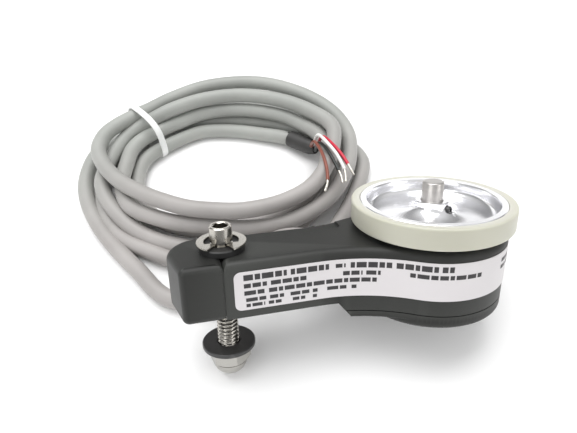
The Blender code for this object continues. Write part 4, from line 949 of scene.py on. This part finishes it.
def wrapped_strip(bm, wrap, start, end, low, high, thickness, step, corner=0.0):
    """A thin closed strip along the wrap, with rounded corners if asked for."""
    stations = [0.0]
    if corner:
        stations = [corner * (1 - cos(radians(15 * i))) for i in range(7)]
    count = max(1, round((end - start - 2 * stations[-1]) / step))
    first = stations[-1] if corner else 0.0
    span = end - start
    middle = [first + (span - 2 * first) * i / count for i in range(count + 1)]
    stations = stations[:-1] + middle + [span - s for s in reversed(stations[:-1])] if corner else middle
    rings = []
    for s in stations:
        inset = 0.0
        near = min(s, span - s)
        if corner and near < corner:
            inset = corner - sqrt(max(0.0, corner ** 2 - (corner - near) ** 2))
            inset = min(inset, corner * 0.98)
        point, out = wrap.at(start + s)
        far = point + out * thickness
        rings.append([
            bm.verts.new(Vector((point.x, point.y, low + inset)) * MM),
            bm.verts.new(Vector((far.x, far.y, low + inset)) * MM),
            bm.verts.new(Vector((far.x, far.y, high - inset)) * MM),
            bm.verts.new(Vector((point.x, point.y, high - inset)) * MM),
        ])
    for a, b in zip(rings, rings[1:]):
        for i in range(4):
            j = (i + 1) % 4
            bm.faces.new([a[i], a[j], b[j], b[i]])
    bm.faces.new(rings[0])
    bm.faces.new(rings[-1])


def make_label():
    bm = bmesh.new()
    wrap = Wrap(LABEL_GAP)
    wrapped_strip(
        bm, wrap, 0.0, wrap.length - 0.1, LABEL_BOTTOM, LABEL_TOP, LABEL_THICKNESS, 0.6, LABEL_CORNER
    )
    bmesh.ops.recalc_face_normals(bm, faces=bm.faces[:])
    label = shade(link("wrap_label", mesh_of(bm, "wrap_label")))
    return finish_piece(label, "arm", "label_white", ["side_label"])


# Rows of generic bars: height of the row's middle, thickness of its bars, and each group's start and end.
PRINT_ROWS = (
    (12.2, 1.7, ((2.6, 14.5), (15.6, 26.5))),
    (12.2, 1.2, ((28.4, 31.2),)),
    (12.2, 1.7, ((32.6, 44.0), (45.2, 56.4), (57.4, 60.6))),
    (9.75, 1.3, ((2.6, 9.0), (10.0, 20.0), (30.5, 36.0), (37.0, 41.0), (49.0, 69.0))),
    (7.55, 1.3, ((2.6, 8.6), (9.4, 40.0))),
    (5.45, 1.1, ((3.0, 8.6), (9.6, 14.0), (15.4, 20.8), (21.8, 23.2), (26.0, 32.0), (33.0, 34.4))),
    (3.75, 1.0, ((3.0, 8.2), (9.2, 12.8), (16.0, 19.6), (21.8, 23.2))),
    (11.4, 1.2, ((78.0, 83.5), (84.4, 88.5))),
    (9.2, 1.2, ((78.0, 81.4), (82.2, 88.5))),
)
BAR_LENGTHS = (2.6, 1.5, 3.2, 1.9, 2.3, 1.2, 2.8)
BAR_SPACE = 0.45


def make_label_print():
    """The lettering's place, filled with rows of short bars."""
    bm = bmesh.new()
    wrap = Wrap(LABEL_GAP + LABEL_THICKNESS + 0.012)
    turn = 0
    for middle, thick, groups in PRINT_ROWS:
        for start, end in groups:
            at = start
            while at < min(end, wrap.length - 0.6):
                length = min(BAR_LENGTHS[turn % len(BAR_LENGTHS)], end - at)
                low = middle - thick / 2
                if length > 0.2:
                    wrapped_strip(bm, wrap, at, at + length, low, low + thick, 0.02, 0.6)
                at += length + BAR_SPACE
                turn += 1
    bmesh.ops.recalc_face_normals(bm, faces=bm.faces[:])
    ink = link("label_print", mesh_of(bm, "label_print"))
    return finish_piece(ink, "arm", "black_plastic", (), INK)


# ---------------------------------------------------------------- wheel


SET_SCREW_DIRECTIONS = [Vector((*polar(1.0, degrees), 0.0)) for degrees in SET_SCREW_ANGLES]


def make_wheel():
    """The turned wheel: a thin rim, a dished floor and a hub that flares down into it like a trumpet."""
    rim = WHEEL_RADIUS - TYRE_THICKNESS
    dish = rim - RIM_WALL
    low = WHEEL_TOP - TYRE_WIDTH + 0.2
    floor = low + 1.8
    bore = SHAFT_RADIUS + 0.15
    hub = 5.0
    hub_top = WHEEL_TOP - 0.2
    rise = hub_top - 1.4 - floor
    flare = [
        (hub + 7.0 * (1 - cos(radians(9 * i))), floor + rise * (1 - sin(radians(9 * i))))
        for i in range(11)
    ]
    corner = arc((dish - 2.2, floor + 2.0), 2.0, -pi / 2, 0, 6)
    profile = [(rim - 0.25, WHEEL_TOP), (rim, WHEEL_TOP - 0.25), (rim, low + 0.2), (rim - 0.2, low)]
    profile += [(bore + 3.0, low), (bore + 2.8, low - 0.9), (bore + 0.2, low - 0.9), (bore, low - 0.7)]
    profile += [
        (bore, hub_top - 0.2), (bore + 0.2, hub_top), (hub - 0.25, hub_top), (hub, hub_top - 0.25),
    ]
    profile += flare + corner
    profile += [(dish, WHEEL_TOP - 0.4), (dish + 0.3, WHEEL_TOP)]
    wheel = turned("machined_wheel", profile, 160)
    height = Vector((0, 0, SET_SCREW_HEIGHT))
    holes = []
    for direction in SET_SCREW_DIRECTIONS:
        hole = rod("hole", SET_SCREW_RADIUS + 0.15, 0.0, 8.0, sides=40)
        holes.append(aim(hole, direction * 6.2 + height, direction))
    cut(wheel, holes)
    shade(wheel)
    wheel.location = WHEEL_AXIS * MM
    return finish_piece(wheel, "wheel", "aluminium", ["wheel_hub"])


def make_set_screws():
    """The two socket set screws that hold the wheel on the shaft."""
    rim = SET_SCREW_RADIUS
    profile = [(0, 1.3), (0.95, 1.3), (rim, 1.05), (rim, -1.05), (0.8, -1.3), (0, -1.3)]
    middle = WHEEL_AXIS + Vector((0, 0, SET_SCREW_HEIGHT))
    for i, direction in enumerate(SET_SCREW_DIRECTIONS):
        screw = turned(f"grub_screw_{i + 1}", profile, 40, closed=False)
        cut(screw, [rod("socket", 0.68, 0.2, 2.0, sides=6)])
        shade(screw)
        aim(screw, middle + direction * (SHAFT_RADIUS + 1.6), direction)
        finish_piece(screw, "wheel", "black_washer", [f"wheel_set_screw_{i + 1}"])


def make_tyre():
    """The urethane tyre, with both outer edges rounded alike."""
    inner = WHEEL_RADIUS - TYRE_THICKNESS + 0.08
    low = WHEEL_TOP - TYRE_WIDTH
    edge = arc((WHEEL_RADIUS - 0.6, WHEEL_TOP - 0.6), 0.6, pi / 2, 0, 6)
    lower_edge = [(radius, low + WHEEL_TOP - height) for radius, height in reversed(edge)]
    profile = edge + lower_edge + [(inner, low), (inner, WHEEL_TOP - 0.1)]
    tyre = turned("wheel_tyre", profile, 160, WHEEL_AXIS)
    return finish_piece(tyre, "wheel", "urethane", ["tyre"])


def make_shaft():
    """The encoder's shaft, with a rounded top edge."""
    edge = arc((SHAFT_RADIUS - 0.45, SHAFT_TOP - 0.45), 0.45, pi / 2, 0, 3)
    profile = [(0, SHAFT_TOP), (SHAFT_RADIUS - 0.9, SHAFT_TOP), *edge]
    profile += [(SHAFT_RADIUS, SHAFT_BOTTOM), (0, SHAFT_BOTTOM)]
    shaft = turned("wheel_shaft", profile, 72, WHEEL_AXIS, closed=False)
    return finish_piece(shaft, "wheel", "bright_steel", ["encoder_shaft"], BRUSHED)


# ---------------------------------------------------------------- pivot


def axle_radius(height, turn):
    """The axle's radius at a height and a share of a turn: its chamfer, ring groove and thread."""
    if abs(height - RING_HEIGHT) < RING_THICKNESS / 2 + 0.1:
        return RING_GROOVE_RADIUS
    if height > AXLE_TOP - AXLE_CHAMFER:
        return AXLE_RADIUS - (height - AXLE_TOP + AXLE_CHAMFER)
    if height > THREAD_TOP:
        return AXLE_RADIUS
    phase = (height / THREAD_PITCH - turn) % 1.0
    crest = min(1.0, abs(2 * phase - 1) * 1.25)
    radius = AXLE_RADIUS - THREAD_DEPTH * (1 - crest)
    return min(radius, AXLE_RADIUS - THREAD_DEPTH + (height - AXLE_BOTTOM) * 0.8)


def make_axle():
    """The pivot axle, with its thread cut as a helix, its ring groove and its hex socket."""
    groove_half = RING_THICKNESS / 2 + 0.1
    row = (THREAD_TOP - AXLE_BOTTOM) / THREAD_ROWS
    heights = [AXLE_BOTTOM + row * i for i in range(THREAD_ROWS + 1)]
    heights += [RING_HEIGHT - groove_half - 0.001, RING_HEIGHT - groove_half + 0.001]
    heights += [RING_HEIGHT + groove_half - 0.001, RING_HEIGHT + groove_half + 0.001]
    heights += [AXLE_TOP - AXLE_CHAMFER, AXLE_TOP - 0.15, AXLE_TOP]
    bm = bmesh.new()
    rings = []
    for height in heights:
        ring = []
        for i in range(AXLE_SIDES):
            radius = axle_radius(height, i / AXLE_SIDES)
            ring.append(
                bm.verts.new((*(c * MM for c in polar(radius, 360.0 * i / AXLE_SIDES)), height * MM))
            )
        rings.append(ring)
    for lower, upper in zip(rings, rings[1:]):
        for i in range(AXLE_SIDES):
            j = (i + 1) % AXLE_SIDES
            bm.faces.new([lower[i], lower[j], upper[j], upper[i]])
    bm.faces.new(rings[0])
    bm.faces.new(rings[-1])
    bmesh.ops.recalc_face_normals(bm, faces=bm.faces[:])
    axle = link("threaded_axle", mesh_of(bm, "threaded_axle"))
    cone = turned(
        "cone", [(0, AXLE_TOP + 0.5), (3.0, AXLE_TOP + 0.5), (0, AXLE_TOP - 2.0)], 48, closed=False,
    )
    socket_corner = HEX_SOCKET / 2 / cos(pi / 6)
    socket = rod(
        "socket", socket_corner, AXLE_TOP - HEX_DEPTH, AXLE_TOP + PAST, sides=6, spin=radians(30),
    )
    cut(axle, [socket, cone])
    shade(axle)
    return finish_piece(axle, "pivot", "bright_steel", ["pivot_axle"])


def make_ring():
    """The open retaining ring, with three lugs on the axle and its mouth to the front."""
    contact = RING_GROOVE_RADIUS + 0.15
    relief = 4.9
    mouth = radians(31)
    middle = radians(-99)
    start = middle + mouth
    end = middle + 2 * pi - mouth
    outline = arc((0, 0), RING_RADIUS, start, end, 60)
    outline += arc((0, 0), contact + 0.25, end, end - 0.45, 5)
    outline += arc((0, 0), relief, end - 0.62, end - 1.9, 12)
    outline += arc((0, 0), contact, end - 2.12, end - 2.95, 6)
    outline += arc((0, 0), relief, end - 3.17, end - 4.45, 12)
    outline += arc((0, 0), contact + 0.25, start + 0.45, start, 5)
    half = RING_THICKNESS / 2
    ring = prism("snap_ring", outline, RING_HEIGHT - half, RING_HEIGHT + half, 0.12, 0.12, 2)
    shade(ring)
    return finish_piece(ring, "pivot", "bright_steel", ["retaining_ring"])


def make_bush():
    bore = AXLE_RADIUS + 0.1
    low = SPRING_POCKET[1] + GAP
    top = ARM_TOP + GAP + BUSH_FLANGE
    profile = [
        (BUSH_FLANGE_RADIUS - 0.3, top), (BUSH_FLANGE_RADIUS, top - 0.3),
        (BUSH_FLANGE_RADIUS, ARM_TOP + 0.05), (BUSH_RADIUS, ARM_TOP + 0.05), (BUSH_RADIUS, low),
        (bore, low), (bore, top),
    ]
    bush = turned("flanged_bush", profile, 72)
    return finish_piece(bush, "arm", "black_plastic", ["upper_bush"])


def make_washer():
    bottom = WASHER_TOP - WASHER_THICKNESS
    bore = AXLE_RADIUS + GAP
    profile = [
        (WASHER_RADIUS - 0.25, WASHER_TOP), (WASHER_RADIUS, WASHER_TOP - 0.25),
        (WASHER_RADIUS, bottom + 0.15), (WASHER_RADIUS - 0.15, bottom), (bore, bottom),
        (bore, WASHER_TOP),
    ]
    return finish_piece(
        turned("black_clamp_washer", profile, 96), "pivot", "black_washer", ["clamp_washer"],
    )


def make_nut():
    """The acorn nut: a chamfered hexagon, a groove and a high dome, hollow inside."""
    top = WASHER_TOP - WASHER_THICKNESS - GAP
    low = top - NUT_HEX
    corner = NUT_FLATS / 2 / cos(pi / 6)
    bottom = DOME_CENTRE - DOME_RADIUS
    nut = rod("acorn_nut", corner, bottom - PAST, top, sides=6, spin=NUT_TURN)
    profile = [
        (0, top + 0.01), (corner - 0.7, top + 0.01), (corner + 0.2, top - 0.6), (corner + 0.2, low + 0.9),
    ]
    profile += [(NUT_FLATS / 2 - 0.1, low), (DOME_RADIUS - 0.4, low - 0.1)]
    dome = arc((0.0, DOME_CENTRE), DOME_RADIUS, 0, radians(-84), 14)
    profile += [point for point in dome if point[1] < low - 0.3] + [(0, bottom)]
    cut(nut, [turned("limit", profile, 96, closed=False)], "INTERSECT")
    cut(nut, [rod("thread", AXLE_RADIUS + GAP, AXLE_BOTTOM - GAP, top + PAST)])
    shade(nut)
    return finish_piece(nut, "pivot", "bright_steel", ["dome_nut"], NUT_STEEL_PAINTED_DARKER)


make_arm()
make_end_cap()
make_cover()
make_cover_screws()
make_label()
make_label_print()
make_wheel()
make_set_screws()
make_tyre()
make_shaft()
make_axle()
make_ring()
make_bush()
make_washer()
make_nut()

# ---------------------------------------------------------------- floor and light


def make_floor():
    bm = bmesh.new()
    bmesh.ops.create_grid(bm, x_segments=1, y_segments=1, size=4.0)
    floor = link("floor", mesh_of(bm, "floor"))
    floor.data.materials.append(
        plain("pale_floor", (0.96, 0.96, 0.96), 0.9, vary=0.005, patch=2.0, bump=0.0)
    )


def make_light(name, place, target, size, power):
    data = bpy.data.lights.new(name, "AREA")
    data.shape = "RECTANGLE"
    data.size = size[0]
    data.size_y = size[1]
    data.energy = power
    light = bpy.data.objects.new(name, data)
    bpy.context.scene.collection.objects.link(light)
    light.location = place
    aim_direction = Vector(target) - Vector(place)
    light.rotation_euler = aim_direction.to_track_quat("-Z", "Y").to_euler()


def make_world():
    """Grey toward the horizon and white overhead, so that bright metal has something dark to mirror."""
    world = bpy.data.worlds.new("studio")
    bpy.context.scene.world = world
    world.use_nodes = True
    tree = world.node_tree
    background = tree.nodes["Background"]
    background.inputs["Strength"].default_value = 0.72
    place = tree.nodes.new("ShaderNodeTexCoord")
    axes = tree.nodes.new("ShaderNodeSeparateXYZ")
    tree.links.new(place.outputs["Generated"], axes.inputs["Vector"])
    sky = ramp_of(tree, axes.outputs["Z"], (0.32, 0.32, 0.32), (1.0, 1.0, 1.0), 0.05, 0.6)
    tree.links.new(sky, background.inputs["Color"])


make_floor()
SUBJECT = (-0.01, 0.03, 0.01)
make_light("overhead", (-0.1, 0.35, 0.9), SUBJECT, (1.0, 0.7), 8.0)
make_light("left_front", (-0.7, -0.4, 0.45), SUBJECT, (0.6, 0.5), 1.8)
make_light("right_front", (0.6, -0.6, 0.4), SUBJECT, (0.5, 0.5), 1.6)
make_world()
bpy.context.scene.view_settings.view_transform = "Standard"
